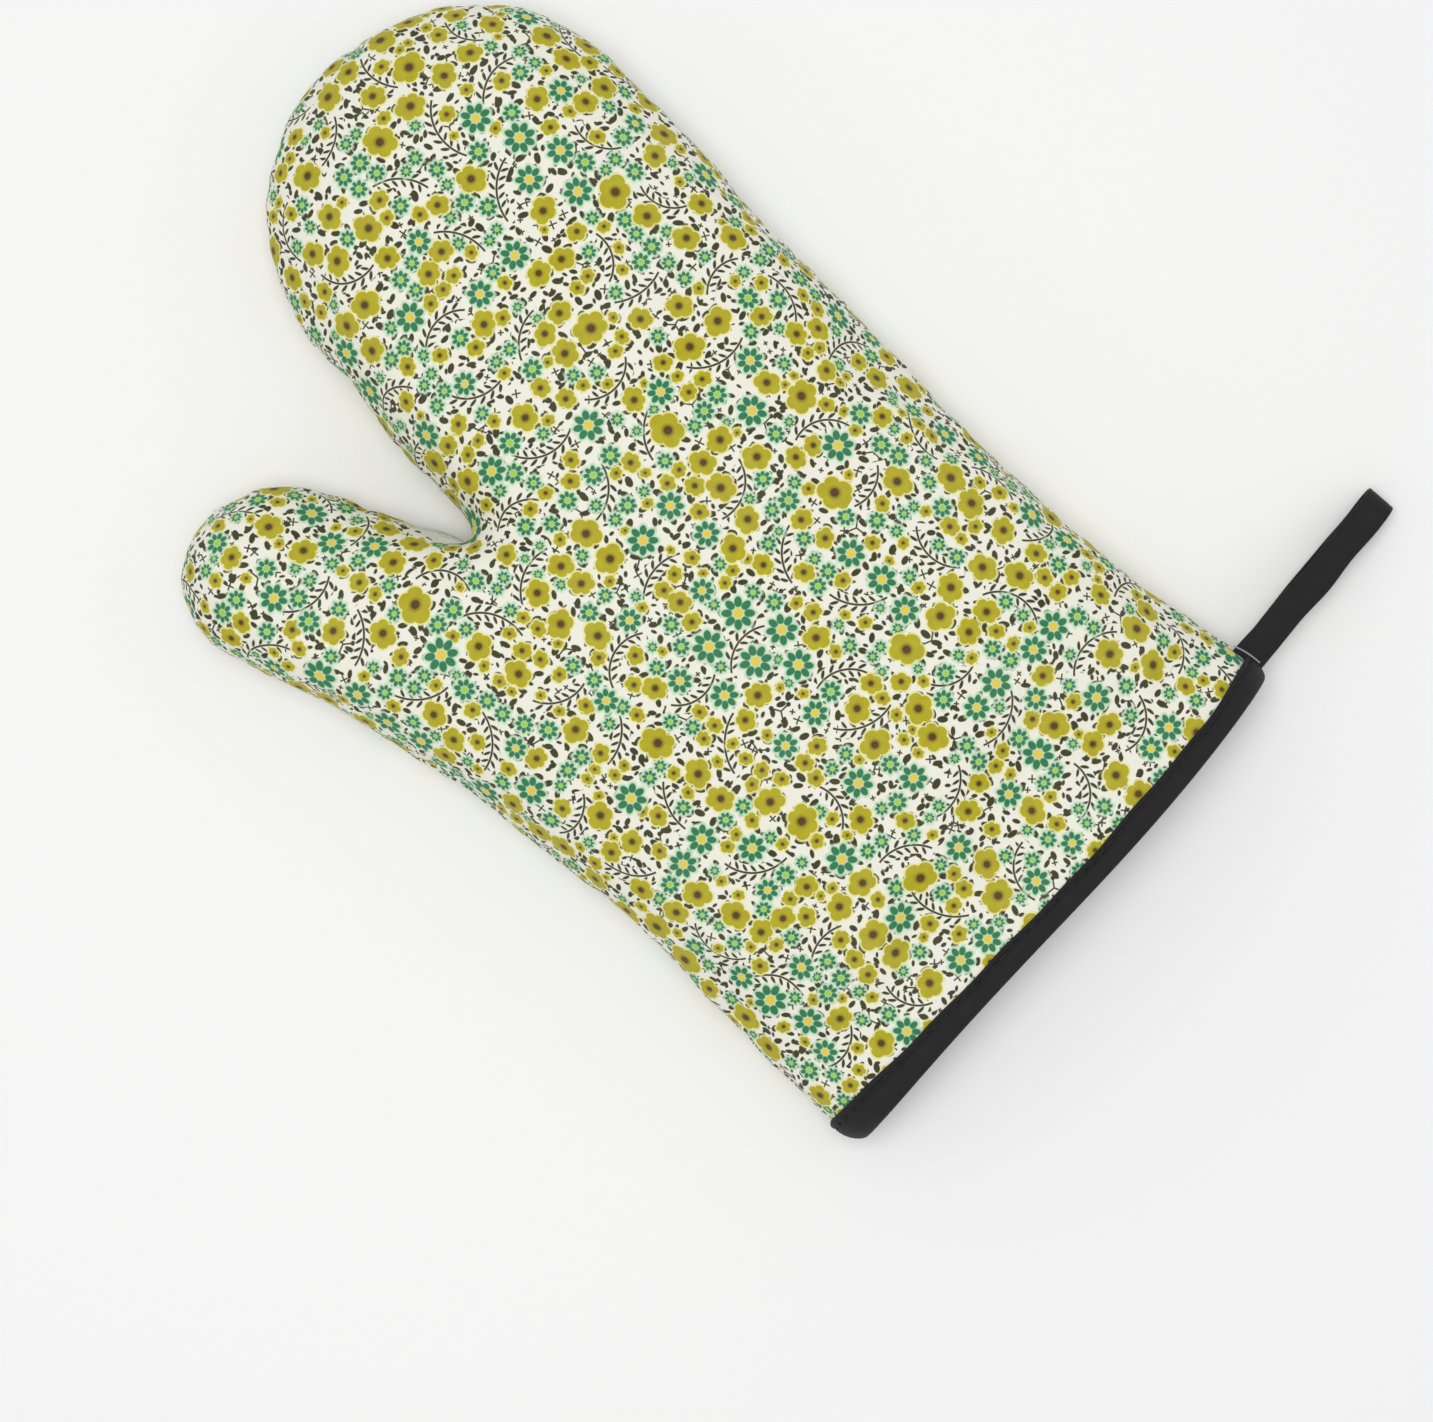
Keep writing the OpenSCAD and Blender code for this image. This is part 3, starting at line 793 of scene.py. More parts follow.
    def _blank(self) -> bpy.types.Object:
        """The plain form, remeshed into even squares, cut open at the hem and parted along the seam."""
        blank = self._closed_form()
        remesh = blank.modifiers.new("even", "REMESH")
        remesh.mode = "VOXEL"
        remesh.voxel_size = self.voxel
        remesh.use_smooth_shade = True
        apply_all(blank)
        work = bmesh.new()
        work.from_mesh(blank.data)
        seam = self.pattern.seam_height * MM
        for axis, level, drop in ((1, self.pattern.hem, True), (2, seam, False)):
            for vert in work.verts:
                if abs(vert.co[axis] - level) < self.snap_share * self.voxel:
                    vert.co[axis] = level
            normal = Vector((0, 0, 0))
            normal[axis] = 1
            place = normal * level
            bmesh.ops.bisect_plane(work, geom=work.verts[:] + work.edges[:] + work.faces[:],
                                   plane_co=place, plane_no=normal, dist=1e-6, clear_inner=drop)
        bmesh.ops.recalc_face_normals(work, faces=work.faces)
        work.to_mesh(blank.data)
        work.free()
        return blank

    @property
    def gap_axes(self) -> tuple[np.ndarray, np.ndarray]:
        """Directions down the gap between thumb and fingers, and across it to the fingers."""
        way = np.array(self.gap_way)
        return way, np.array([-way[1], way[0]])

    def _opened(self, points: np.ndarray) -> np.ndarray:
        """Draws the skin down into the narrow gap between thumb and fingers, which the remesh bridges."""
        plain = self.pattern.unplaced(points)
        way, aside = self.gap_axes
        saddle = self.pattern.crotch_centre - way * self.bridged
        step = plain[:, :2] - saddle
        near = np.exp(-(step ** 2).sum(axis=1) / self.bridge_reach ** 2)
        side = step @ aside
        plain[:, :2] += way * (self.bridged * near)[:, None]
        plain[:, :2] -= aside * (self.pinch * near * np.tanh(side / 2))[:, None]
        return self.pattern.placed(plain)

    def _drift(self, rest: np.ndarray, step: np.ndarray) -> np.ndarray:
        """The sideways shift that a whole neighbourhood makes, which isn't part of its swelling."""
        place = (rest[:, :2] / self.drift_reach).astype(np.float32)
        shift = np.empty((len(rest), 2))
        for first in range(0, len(rest), 1000):
            part = place[first:first + 1000]
            near = np.exp(-((part[:, None, :] - place[None, :, :]) ** 2).sum(axis=2))
            shift[first:first + 1000] = near @ step[:, :2] / near.sum(axis=1, keepdims=True)
        return shift

    def _inflate(self, blank: bpy.types.Object) -> None:
        """Lets the blank's cloth swell under pressure, held at the cuff and kept from drifting."""
        rest = points_of(blank.data)
        pins = blank.vertex_groups.new(name="held")
        for number, point in enumerate(rest):
            near = max(0.0, 1 - (point[1] - self.pattern.hem) / self.pin_reach)
            pins.add([number], min(1.0, max(near ** 0.7, self.least_pin)), "REPLACE")
        cloth = blank.modifiers.new("cloth", "CLOTH")
        settings = cloth.settings
        settings.quality = 6
        settings.mass = 0.25
        settings.tension_stiffness = 18
        settings.compression_stiffness = 12
        settings.shear_stiffness = 6
        settings.bending_stiffness = 0.35
        settings.vertex_group_mass = pins.name
        settings.pin_stiffness = 0.6
        settings.shrink_min = -self.stretch
        settings.use_pressure = True
        settings.uniform_pressure_force = self.pressure
        settings.effector_weights.gravity = 0.0
        cloth.point_cache.frame_start = 1
        cloth.point_cache.frame_end = self.frames
        scene = bpy.context.scene
        for number in range(1, self.frames + 1):
            scene.frame_set(number)
        apply_all(blank)
        scene.frame_set(1)
        step = points_of(blank.data) - rest
        step[:, :2] -= self._drift(rest, step)
        length = np.linalg.norm(step, axis=1, keepdims=True)
        held = np.minimum(1.0, self.most_move / np.maximum(length, 1e-9))
        freed = np.clip((rest[:, 1:2] - self.pattern.hem - self.bound) / self.swelling_over, 0, 1)
        set_points(blank.data, rest + step * held * freed)
        log.info("cloth moved at most %.1f mm", float(length.max()) / MM)

    def build(self) -> None:
        """Makes the skin: remesh, cloth, subdivision, then the seam's groove and puckers."""
        blank = self._blank()
        rest = self._opened(points_of(blank.data))
        set_points(blank.data, rest)
        self._inflate(blank)
        stored = blank.data.attributes.new("rest", "FLOAT_VECTOR", "POINT")
        stored.data.foreach_set("vector", rest.astype(np.float32).ravel())
        smooth = blank.modifiers.new("smooth", "SUBSURF")
        smooth.levels = smooth.render_levels = self.subdivisions
        apply_all(blank)
        flat = np.empty(len(blank.data.vertices) * 3, np.float32)
        blank.data.attributes["rest"].data.foreach_get("vector", flat)
        self.rest = flat.reshape(-1, 3).astype(float)
        self.faces = faces_of(blank.data)
        self.points = self._shaped(points_of(blank.data), normals_of(blank.data))
        bpy.data.objects.remove(blank)
        log.info("skin has %d points", len(self.points))

    def _shaped(self, points: np.ndarray, normals: np.ndarray) -> np.ndarray:
        """Adds the seam's groove, its puckers and the slack of the cloth, and lays it on the table."""
        seam_height = self.pattern.seam_height * MM
        upper = self.rest[:, 2] >= seam_height
        from_seam = np.empty(len(points))
        along = np.empty(len(points))
        for panel, mask in ((Panel.FRONT, upper), (Panel.BACK, ~upper)):
            from_seam[mask], along[mask] = self._looked_up(panel, self.rest[mask], ["seam", "along"])
        off_cuff = np.clip((self.rest[:, 1] - self.pattern.hem - self.bound) / self.shaping_over, 0, 1)
        groove = -self.groove_depth * np.exp(-(from_seam / self.groove_width) ** 1.4)
        puff = self.puff_height * (from_seam / self.puff_rise) * np.exp(-from_seam / self.puff_fade)
        line = np.stack([along, from_seam * 0.35, np.zeros(len(points))], axis=1)
        pucker = self.pucker_depth * wave(line, self.pucker_length, 1.0, 2)
        pucker *= np.exp(-from_seam / self.pucker_reach)
        slack = (self.long_slack[0] * wave(self.rest, self.long_slack[1], 2.0, 2)
                 + self.short_slack[0] * wave(self.rest, self.short_slack[1], 3.0, 1))
        moved = points + normals * ((groove + puff + pucker) * off_cuff + slack * off_cuff)[:, None]
        touching = self.rest[:, 2] < self.table_contact
        moved[:, 2] = np.maximum(np.where(touching, self.rest[:, 2] * 0.5, moved[:, 2]), 0.0)
        plain = self._thumb_turned(self.pattern.unplaced(moved))
        return self.pattern.placed(self.cuff.warp(plain, self.pattern))

    def _thumb_turned(self, points: np.ndarray) -> np.ndarray:
        """Turns the thumb a little away from the fingers about its root, and leaves the crotch alone."""
        root = np.array(self.thumb_root)
        way = self.pattern.thumb_centre - root
        step = points[:, :2] - root
        past_root = step @ way / (way @ way)
        off_gap = -(points[:, :2] - self.pattern.crotch_centre) @ self.gap_axes[1] / self.gap_clear
        moved = points.copy()
        moved[:, :2] = root + turned(step, math.radians(self.thumb_turn) * eased(past_root) * eased(off_gap))
        return moved

    def panel(self, which: Panel) -> SkinPanel:
        """The part of the skin that belongs to one panel."""
        seam = self.pattern.seam_height * MM
        middles = np.array([self.rest[face, 2].mean() for face in self.faces])
        wanted = middles > seam if which is Panel.FRONT else middles <= seam
        faces = [face for face, keep in zip(self.faces, wanted) if keep]
        used = sorted({i for face in faces for i in face})
        renumber = {old: new for new, old in enumerate(used)}
        rest = self.rest[used]
        uv, inward = self._looked_up(which, rest, ["uv", "inward"])
        faces = [[renumber[i] for i in face] for face in faces]
        # Beside the crotch the ribs cross, so the pattern starts there as the cloth looks from above.
        from_above = self.pattern.unplaced(self.points[used])[:, :2]
        off_crotch = np.linalg.norm(from_above - self.pattern.crotch_centre, axis=1, keepdims=True)
        near, far = self.crossed_ribs
        uv = from_above * MM + (uv - from_above * MM) * eased((off_crotch - near) / (far - near))
        uv = evened(uv, self.points[used], faces, self.evening)
        if which is Panel.BACK:
            uv = uv + np.array(self.back_cut)
        return SkinPanel(self.points[used], faces, inward, uv)

    def seam_line(self) -> np.ndarray:
        """The seam's own points in order round the mitt, with the inward direction at each."""
        on_seam = np.where(np.abs(self.rest[:, 2] - self.pattern.seam_height * MM) < 1e-5)[0]
        along, inward = self._looked_up(Panel.FRONT, self.rest[on_seam], ["along", "inward"])
        order = np.argsort(along)
        return np.hstack([self.points[on_seam][order], inward[order]])


@dataclass
class MittPanels:
    """Shell, wadding and lining: a front and a back panel of each."""

    skin: MittSkin
    shell_depths: tuple[float, float] = (0.0, 0.6)
    wadding_depths: tuple[float, float] = (0.7, 4.5)
    lining_depths: tuple[float, float] = (4.6, 5.2)
    lining_share: float = 0.94

    def _layer(self, name: str, panel: SkinPanel, depths: tuple[float, float]) -> bpy.types.Object:
        """One closed layer between two depths under the skin."""
        outer, inner = (panel.points + panel.inward * depth * MM for depth in depths)
        for face, depth in zip((outer, inner), depths):
            face[:, 2] = np.maximum(face[:, 2], depth * MM)
        piece = closed_sheet(name, outer, inner, panel.faces, panel.uv)
        shade_smooth(piece)
        return piece

    def build(self, finishes: "FinishRack") -> None:
        """Makes the six layers, dresses them and puts them on the frame."""
        for side in Panel:
            panel = self.skin.panel(side)
            span = (panel.uv.max(axis=0) - panel.uv.min(axis=0)).tolist()
            area = surface_area(panel.points, panel.faces)
            shell = self._layer(f"printed_shell_{side.value}", panel, self.shell_depths)
            pad = self._layer(f"wadding_{side.value}_pad", panel, self.wadding_depths)
            lining = self._layer(f"lining_{side.value}_cloth", panel, self.lining_depths)
            for piece, node, slot in ((shell, f"shell_{side.value}", "printed_cotton"),
                                      (pad, f"wadding_{side.value}", "wadding"),
                                      (lining, f"lining_{side.value}", "lining_cotton")):
                settle(piece, "mitt", slot, [node], finishes)
            min(area, span[0] * span[1])
            min(area * self.lining_share, span[0] * span[1])


# ---------------------------------------------------------------------------------------------
# Stitches
# ---------------------------------------------------------------------------------------------

@dataclass
class Stitch:
    """One stitch of thread, modelled once and copied along a row."""

    width: float = 0.5
    length: float = 2.6

    def master(self) -> tuple[np.ndarray, list[list[int]]]:
        """A short round length of thread with softened ends, lying along X.

        Returns:
            Its points in millimetres and its faces.
        """
        deselect_all()
        bpy.ops.mesh.primitive_cylinder_add(vertices=8, radius=self.width / 2, depth=self.length,
                                            end_fill_type="NGON", rotation=(0, math.pi / 2, 0))
        piece = bpy.context.object
        bpy.ops.object.transform_apply(location=True, rotation=True, scale=True)
        bpy.ops.object.mode_set(mode="EDIT")
        bpy.ops.mesh.select_all(action="SELECT")
        bpy.ops.mesh.bevel(offset=self.width * 0.28, segments=1, affect="EDGES")
        bpy.ops.mesh.normals_make_consistent(inside=False)
        bpy.ops.object.mode_set(mode="OBJECT")
        points, faces = points_of(piece.data), faces_of(piece.data)
        bpy.data.objects.remove(piece)
        return points, faces

    def row(self, name: str, middles: np.ndarray, along: np.ndarray, up: np.ndarray) -> bpy.types.Object:
        """A row of stitches as one piece.

        Args:
            name: the piece's name.
            middles: middle of each stitch, in metres.
            along: unit direction of each stitch.
            up: a unit direction across each stitch.

        Returns:
            The piece.
        """
        points, faces = self.master()
        across = np.cross(up, along)
        across /= np.maximum(np.linalg.norm(across, axis=1, keepdims=True), 1e-9)
        level = np.cross(along, across)
        turned_points = sum(points[None, :, k:k + 1] * axis[:, None, :]
                            for k, axis in enumerate((along, across, level)))
        placed = middles[:, None, :] + MM * turned_points
        all_faces = [[i + k * len(points) for i in face] for k in range(len(middles)) for face in faces]
        piece = new_piece(name, placed.reshape(-1, 3), all_faces)
        write_uv(piece, np.tile(points[:, :2] * MM, (len(middles), 1)))
        shade_smooth(piece)
        return piece


def mirrored(points: Sequence[tuple[float, float]]) -> list[tuple[float, float]]:
    """A plane line of points on the other side of its upright axis, in the opposite order."""
    return [(-x, y) for x, y in reversed(points)]


def between(path: np.ndarray, index: np.ndarray) -> np.ndarray:
    """Places along a path, given as fractional numbers among its points."""
    numbers = np.arange(len(path))
    return np.stack([np.interp(index, numbers, path[:, k]) for k in range(path.shape[1])], axis=1)


def spaced_points(line: np.ndarray, pitch: float, closed: bool) -> tuple[np.ndarray, np.ndarray]:
    """Evenly spaced places along a line.

    Args:
        line: its points.
        pitch: the distance between places.
        closed: whether the last point joins the first.

    Returns:
        For each place, where it lies among the points, as a fractional number, and the place itself.
    """
    path = np.vstack([line, line[:1]]) if closed else line
    run = distances(path)
    count = max(2, int(run[-1] / pitch))
    wanted = (np.arange(count) + 0.5) * run[-1] / count
    index = np.interp(wanted, run, np.arange(len(path)))
    return index, between(path, index)


def directions(line: np.ndarray, closed: bool) -> np.ndarray:
    """Unit direction of a line at each of its points."""
    if closed:
        step = np.roll(line, -1, axis=0) - np.roll(line, 1, axis=0)
    else:
        step = np.gradient(line, axis=0)
    return step / np.maximum(np.linalg.norm(step, axis=1, keepdims=True), 1e-12)


@dataclass
class SeamStitching:
    """The two closing seams inside the wall: the shell's and the lining's, needle and bobbin thread."""

    skin: MittSkin
    stitch: Stitch
    pitch: float = 3.5
    lift: float = 0.3
    start: float = 9.0
    shell_depth: float = 1.1
    lining_depth: float = 4.7

    def build(self, finishes: "FinishRack") -> None:
        """Makes the four rows of thread along the side seam."""
        line = self.skin.seam_line()
        for layer, depth in (("shell", self.shell_depth), ("lining", self.lining_depth)):
            path = line[:, :3] + line[:, 3:] * depth * MM
            path = path[path[:, 1] > self.start * MM + self.skin.pattern.hem]
            _, places = spaced_points(path, self.pitch * MM, closed=False)
            along = directions(places, closed=False)
            up = np.tile([0.0, 0.0, 1.0], (len(places), 1))
            for thread, side in (("needle", 1), ("bobbin", -1)):
                shift = np.array([0.0, 0.0, side * self.lift * MM])
                row = self.stitch.row(f"{layer}_seam_{thread}_stitches", places + shift, along, up)
                settle(row, "mitt", "seam_thread", [f"{layer}_seam_{thread}_thread"], finishes)


# ---------------------------------------------------------------------------------------------
# The bound edge of the cuff
# ---------------------------------------------------------------------------------------------

@dataclass
class CuffBinding:
    """Black tape folded over the cuff's raw edge and topstitched through."""

    pattern: MittPattern
    cuff: CuffShape
    stitch: Stitch
    section_steps: int = 90
    stations_per_stitch: int = 6
    stitch_pitch: float = 3.5
    stitch_height: float = 0.78
    stitch_depth: float = 0.66
    stitch_reach: float = 0.07
    dip: float = 0.12
    dip_step: float = 0.3
    puff: float = 0.18
    puff_step: float = 0.5
    nominal_leg: float = 7.0
    turned_under: float = 2.0
    middle_width: float = 6.6
    left_gain: float = 3.2
    left_from: float = 22.0
    left_over: float = 52.0
    right_gain: float = 0.9
    right_from: float = 58.0
    right_over: float = 20.0
    inner_width: float = 6.4

    def _outer_leg(self) -> list[tuple[float, float]]:
        """Outer leg of the tape's section, from its folded edge past the stitches down to the hem."""
        return [(0.0, 0.93), (-0.25, 0.985), (-0.55, 0.985), (-0.82, 0.94), (-0.86, 0.88), (-0.72, 0.82),
                (-0.52, self.stitch_height), (-0.74, 0.73), (-1.0, 0.66), (-1.14, 0.52), (-1.2, 0.36),
                (-1.12, 0.22), (-0.86, 0.09), (-0.4, 0.02)]

    def profile(self) -> list[tuple[float, float]]:
        """The tape's section: depth under the outer face, and height as a share of the leg's width."""
        wall = self.pattern.wall
        outer = self._outer_leg()
        fold = [(self.pattern.tape, 0.0), (wall / 2, -0.01), (wall - self.pattern.tape, 0.0)]
        inner = [(wall - depth, height) for depth, height in reversed(outer)]
        inside = [(wall, 0.7), (wall, 0.3), (wall - 0.3, 0.14), (wall / 2, 0.12), (0.3, 0.14), (0.0, 0.3),
                  (0.0, 0.7)]
        return outer + fold + inner + inside

    def leg_width(self, x: np.ndarray) -> np.ndarray:
        """Width of the tape's outer leg across the front, in millimetres."""
        left = np.clip((-x - self.left_from) / self.left_over, 0, 1) ** 1.3
        right = np.clip((x - self.right_from) / self.right_over, 0, 1)
        return self.middle_width + self.left_gain * left + self.right_gain * right

    def _shaped(self, base: np.ndarray, height: float, outer: bool, upper: np.ndarray, run: np.ndarray,
                ripple: float) -> np.ndarray:
        """Puts one line of the section at its height above the hem and bends it with the cuff."""
        width = np.full(len(base), self.inner_width + self.pattern.tape)
        if outer:
            width = width + (self.leg_width(base[:, 0]) - width) * upper
        line = base.copy()
        uneven = ripple * (0.55 * np.sin(run / 9.0 + 0.7) + 0.45 * np.sin(run / 3.7 + 2.1))
        line[:, 1] = -self.pattern.tape + height * (width + uneven)
        return self.cuff.warp(line, self.pattern)

    def _base_lines(self) -> tuple[Callable[[float], np.ndarray], np.ndarray, np.ndarray]:
        """A line round the cuff at any depth, with the distance run along it and its upper share."""
        guide = self.pattern.cuff_section(-self.pattern.tape, self.section_steps)
        girth = np.linalg.norm(np.roll(guide, -1, axis=0) - guide, axis=1).sum()
        stitches = int(girth / self.stitch_pitch)
        pitch = girth / stitches / self.stations_per_stitch
        index, places = spaced_points(guide, pitch, closed=True)

        def at(depth: float) -> np.ndarray:
            """The line at one depth."""
            line = self.pattern.cuff_section(depth, self.section_steps)
            return between(np.vstack([line, line[:1]]), index)

        run = np.arange(len(index)) * pitch
        upper = np.clip((places[:, 2] - 8) / 10, 0, 1)
        return at, run, upper

    def build(self, finishes: "FinishRack") -> None:
        """Makes the tape and the two faces of its topstitching."""
        at, run, upper = self._base_lines()
        profile = self.profile()
        dip = self.dip * (1 - np.cos(run / self.stitch_pitch * TURN))
        lines = []
        for k, (depth, height) in enumerate(profile):
            outer = k < len(self._outer_leg())
            base = level = at(depth)
            if outer and abs(height - self.stitch_height) < self.stitch_reach:
                base = base + (at(depth + self.dip_step) - level) * (dip / self.dip_step)[:, None]
            if outer:
                puff = self.puff * np.sin(run / 6.3 + 1.0) * math.sin(math.pi * height)
                base = base + (at(depth - self.puff_step) - level) * (puff / self.puff_step)[:, None]
            lines.append(self._shaped(base, height, outer, upper, run, 0.35 if height > 0.6 else 0.12))
        rings = np.stack(lines, axis=1)
        rings[:, :, 2] = np.maximum(rings[:, :, 2], 0.0)
        tape, width = swept_ring("cuff_binding_tape", self.pattern.placed(rings), close_path=True)
        across = distances(np.array(profile) * (1.0, self.nominal_leg))
        write_uv(tape, np.stack([np.repeat(run, width), np.tile(across, len(rings))], axis=1) * MM)
        shade_smooth(tape, 70)
        settle(tape, "mitt", "black_tape", ["cuff_binding"], finishes)
        self._topstitch(at, upper, finishes)

    def _topstitch(self, at: Callable[[float], np.ndarray], upper: np.ndarray,
                   finishes: "FinishRack") -> None:
        """Rows of stitches on the outer and the inner leg of the tape."""
        run = np.arange(len(upper), dtype=float)
        for name, node, depth, outer in (
                ("binding_needle_stitches", "binding_needle_thread", -self.stitch_depth, True),
                ("binding_bobbin_stitches", "binding_bobbin_thread",
                 self.pattern.wall + self.stitch_depth, False)):
            line, inside = (self.pattern.placed(
                self._shaped(at(place), self.stitch_height, outer, upper, run, 0.0))
                for place in (depth, depth + 1.0))
            along = directions(line, closed=True)
            up = inside - line
            up /= np.maximum(np.linalg.norm(up, axis=1, keepdims=True), 1e-9)
            line[:, 2] = np.maximum(line[:, 2], self.stitch.width / 2 * MM)
            pick = np.arange(0, len(line), self.stations_per_stitch)
            row = self.stitch.row(name, line[pick], along[pick], up[pick])
            settle(row, "mitt", "black_thread", [node], finishes)


# ---------------------------------------------------------------------------------------------
# The hanging loop
# ---------------------------------------------------------------------------------------------

@dataclass
class HangingLoop:
    """A flat tape folded double, sewn into the corner of the cuff."""

    pattern: MittPattern
    width: float = 8.1
    cloth: float = 1.0
    bight: float = 3.8
    neck: float = 5.0
    rise: float = 2.0
    tuck: float = 4.0
    clearance: float = 0.35
    path_step: float = 1.0
    ply_gap: float = 0.04
    fold_steps: int = 9
    above_table: float = 0.02
    turned_under: float = 2.2
    bend_before: float = 1.6
    bend_after: float = 2.2
    tack_stitches: int = 13
    tack_length: float = 7.0

    @property
    def pivot(self) -> np.ndarray:
        """Where the loop bends, in the plane of X and Z, in millimetres from the hem's middle."""
        return np.array([self.pattern.half_cuff + self.pattern.tape + self.clearance + self.cloth,
                         self.pattern.seam_height])

    def _middle_line(self) -> np.ndarray:
        """Middle of the tape's cloth: from inside the seam over the upper ply, round the fold and back."""
        outer = self.bight + self.cloth
        end = self.pattern.half_cuff + self.pattern.loop_length
        reach = end - self.pivot[0] - outer
        droop = math.atan((self.pivot[1] - outer) / reach)
        far = reach / math.cos(droop)
        half, wide = (self.cloth + self.ply_gap) / 2, self.bight + self.cloth / 2
        run = np.arange(0.0, far, self.path_step)
        share = np.maximum(0.0, (run - self.neck) / (far - self.neck))
        swell = eased(share) * 0.25 + share * 0.75
        bend = np.linspace(0.0, math.pi / 2, self.fold_steps)
        free = np.vstack([np.stack([run, half + (wide - half) * swell], axis=1),
                          np.stack([far + wide * np.sin(bend), wide * np.cos(bend)], axis=1)])
        sewn = np.arange(-self.tuck - self.clearance - self.cloth - self.pattern.tape, -0.2, self.path_step)
        over, under = (np.vstack([np.stack([sewn, np.full(len(sewn), side * half)], axis=1),
                                  turned(free * (1, side), -droop)]) for side in (1, -1))
        return np.vstack([over, under[-2::-1]]) + self.pivot

    def _section(self) -> np.ndarray:
        """The tape's section: across its width, and through its cloth, in millimetres."""
        half, thick = self.width / 2, self.cloth / 2
        sag = 0.97 * thick
        grooved = [(-half, 0.0), (0.08 - half, 0.7 * thick), (0.4 - half, thick), (0.9 - half, 0.98 * thick),
                   (1.15 - half, 0.78 * thick), (1.4 - half, 0.98 * thick), (-half / 2, thick)]
        plain = [(half - 0.08, -0.7 * thick), (half - 0.4, -thick), (half / 2, -thick)]
        return np.array(grooved + [(0.0, sag)] + mirrored(grooved) + plain + [(0.0, -sag)] + mirrored(plain))

    def build(self, finishes: "FinishRack") -> None:
        """Makes the tape in one length, from inside the seam round its fold and back, and its tacking."""
        line = self._middle_line()
        step = directions(line, closed=False)
        out = np.stack([-step[:, 1], step[:, 0]], axis=1)
        section = self._section()
        run = distances(line)
        middle = self.rise + self.width / 2
        rings = np.empty((len(line), len(section), 3))
        for k, (across, through) in enumerate(section):
            wander = 0.18 * np.sin(run / 7.0 + 0.4) + 0.10 * np.sin(run / 2.9)
            edge = across + np.sign(across) * 0.10 * np.sin(run / 3.3 + np.sign(across))
            rings[:, k, 0] = line[:, 0] + out[:, 0] * through
            rings[:, k, 1] = middle + edge + wander
            rings[:, k, 2] = line[:, 1] + out[:, 1] * through
        rings[:, :, 2] = np.maximum(rings[:, :, 2], self.above_table)
        tape, width = swept_ring("hanging_loop_tape", self.pattern.placed(rings), close_path=False)
        around = distances(section)
        write_uv(tape, np.stack([np.repeat(run, width), np.tile(around, len(line))], axis=1) * MM)
        shade_smooth(tape, 60)
        finishes.dress(tape, "black_tape")
        root = self.pattern.placed(np.array([[self.pivot[0], middle, self.pivot[1]]]))[0]
        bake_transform(tape)
        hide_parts("hang_loop", "loop_sewn_ends")
        log.info("made %s", tape.name)
        self._tacking(finishes)

    def _tacking(self, finishes: "FinishRack") -> None:
        """A short curved row of close light grey stitches where the tape leaves the bound corner; their pale
        colour is partly real thread and partly a painted highlight along the end of the binding.
        """
        share = np.linspace(0, 1, self.tack_stitches)
        x = self.pattern.half_cuff + 0.75 - share ** 2.4
        y = 3.6 + self.tack_length * share
        z = np.full(len(share), self.pattern.seam_height + self.cloth + 0.14)
        line = self.pattern.placed(np.stack([x, y, z], axis=1))
        along = directions(line, closed=False)
        up = np.tile([0.0, 0.0, 1.0], (len(line), 1))
        row = Stitch(width=0.45, length=0.75).row("loop_tack_stitches", line, along, up)
        settle(row, "mitt", "seam_thread", ["loop_bartack"], finishes)


# ---------------------------------------------------------------------------------------------
# Finishes
# ---------------------------------------------------------------------------------------------

def linear(red: float, green: float, blue: float) -> tuple[float, float, float, float]:
    """A display colour given from 0 to 255, as the shader's linear colour."""
    def lift(value: float) -> float:
        """One channel."""
        value /= 255
        return value / 12.92 if value <= 0.04045 else ((value + 0.055) / 1.055) ** 2.4
    return (lift(red), lift(green), lift(blue), 1.0)


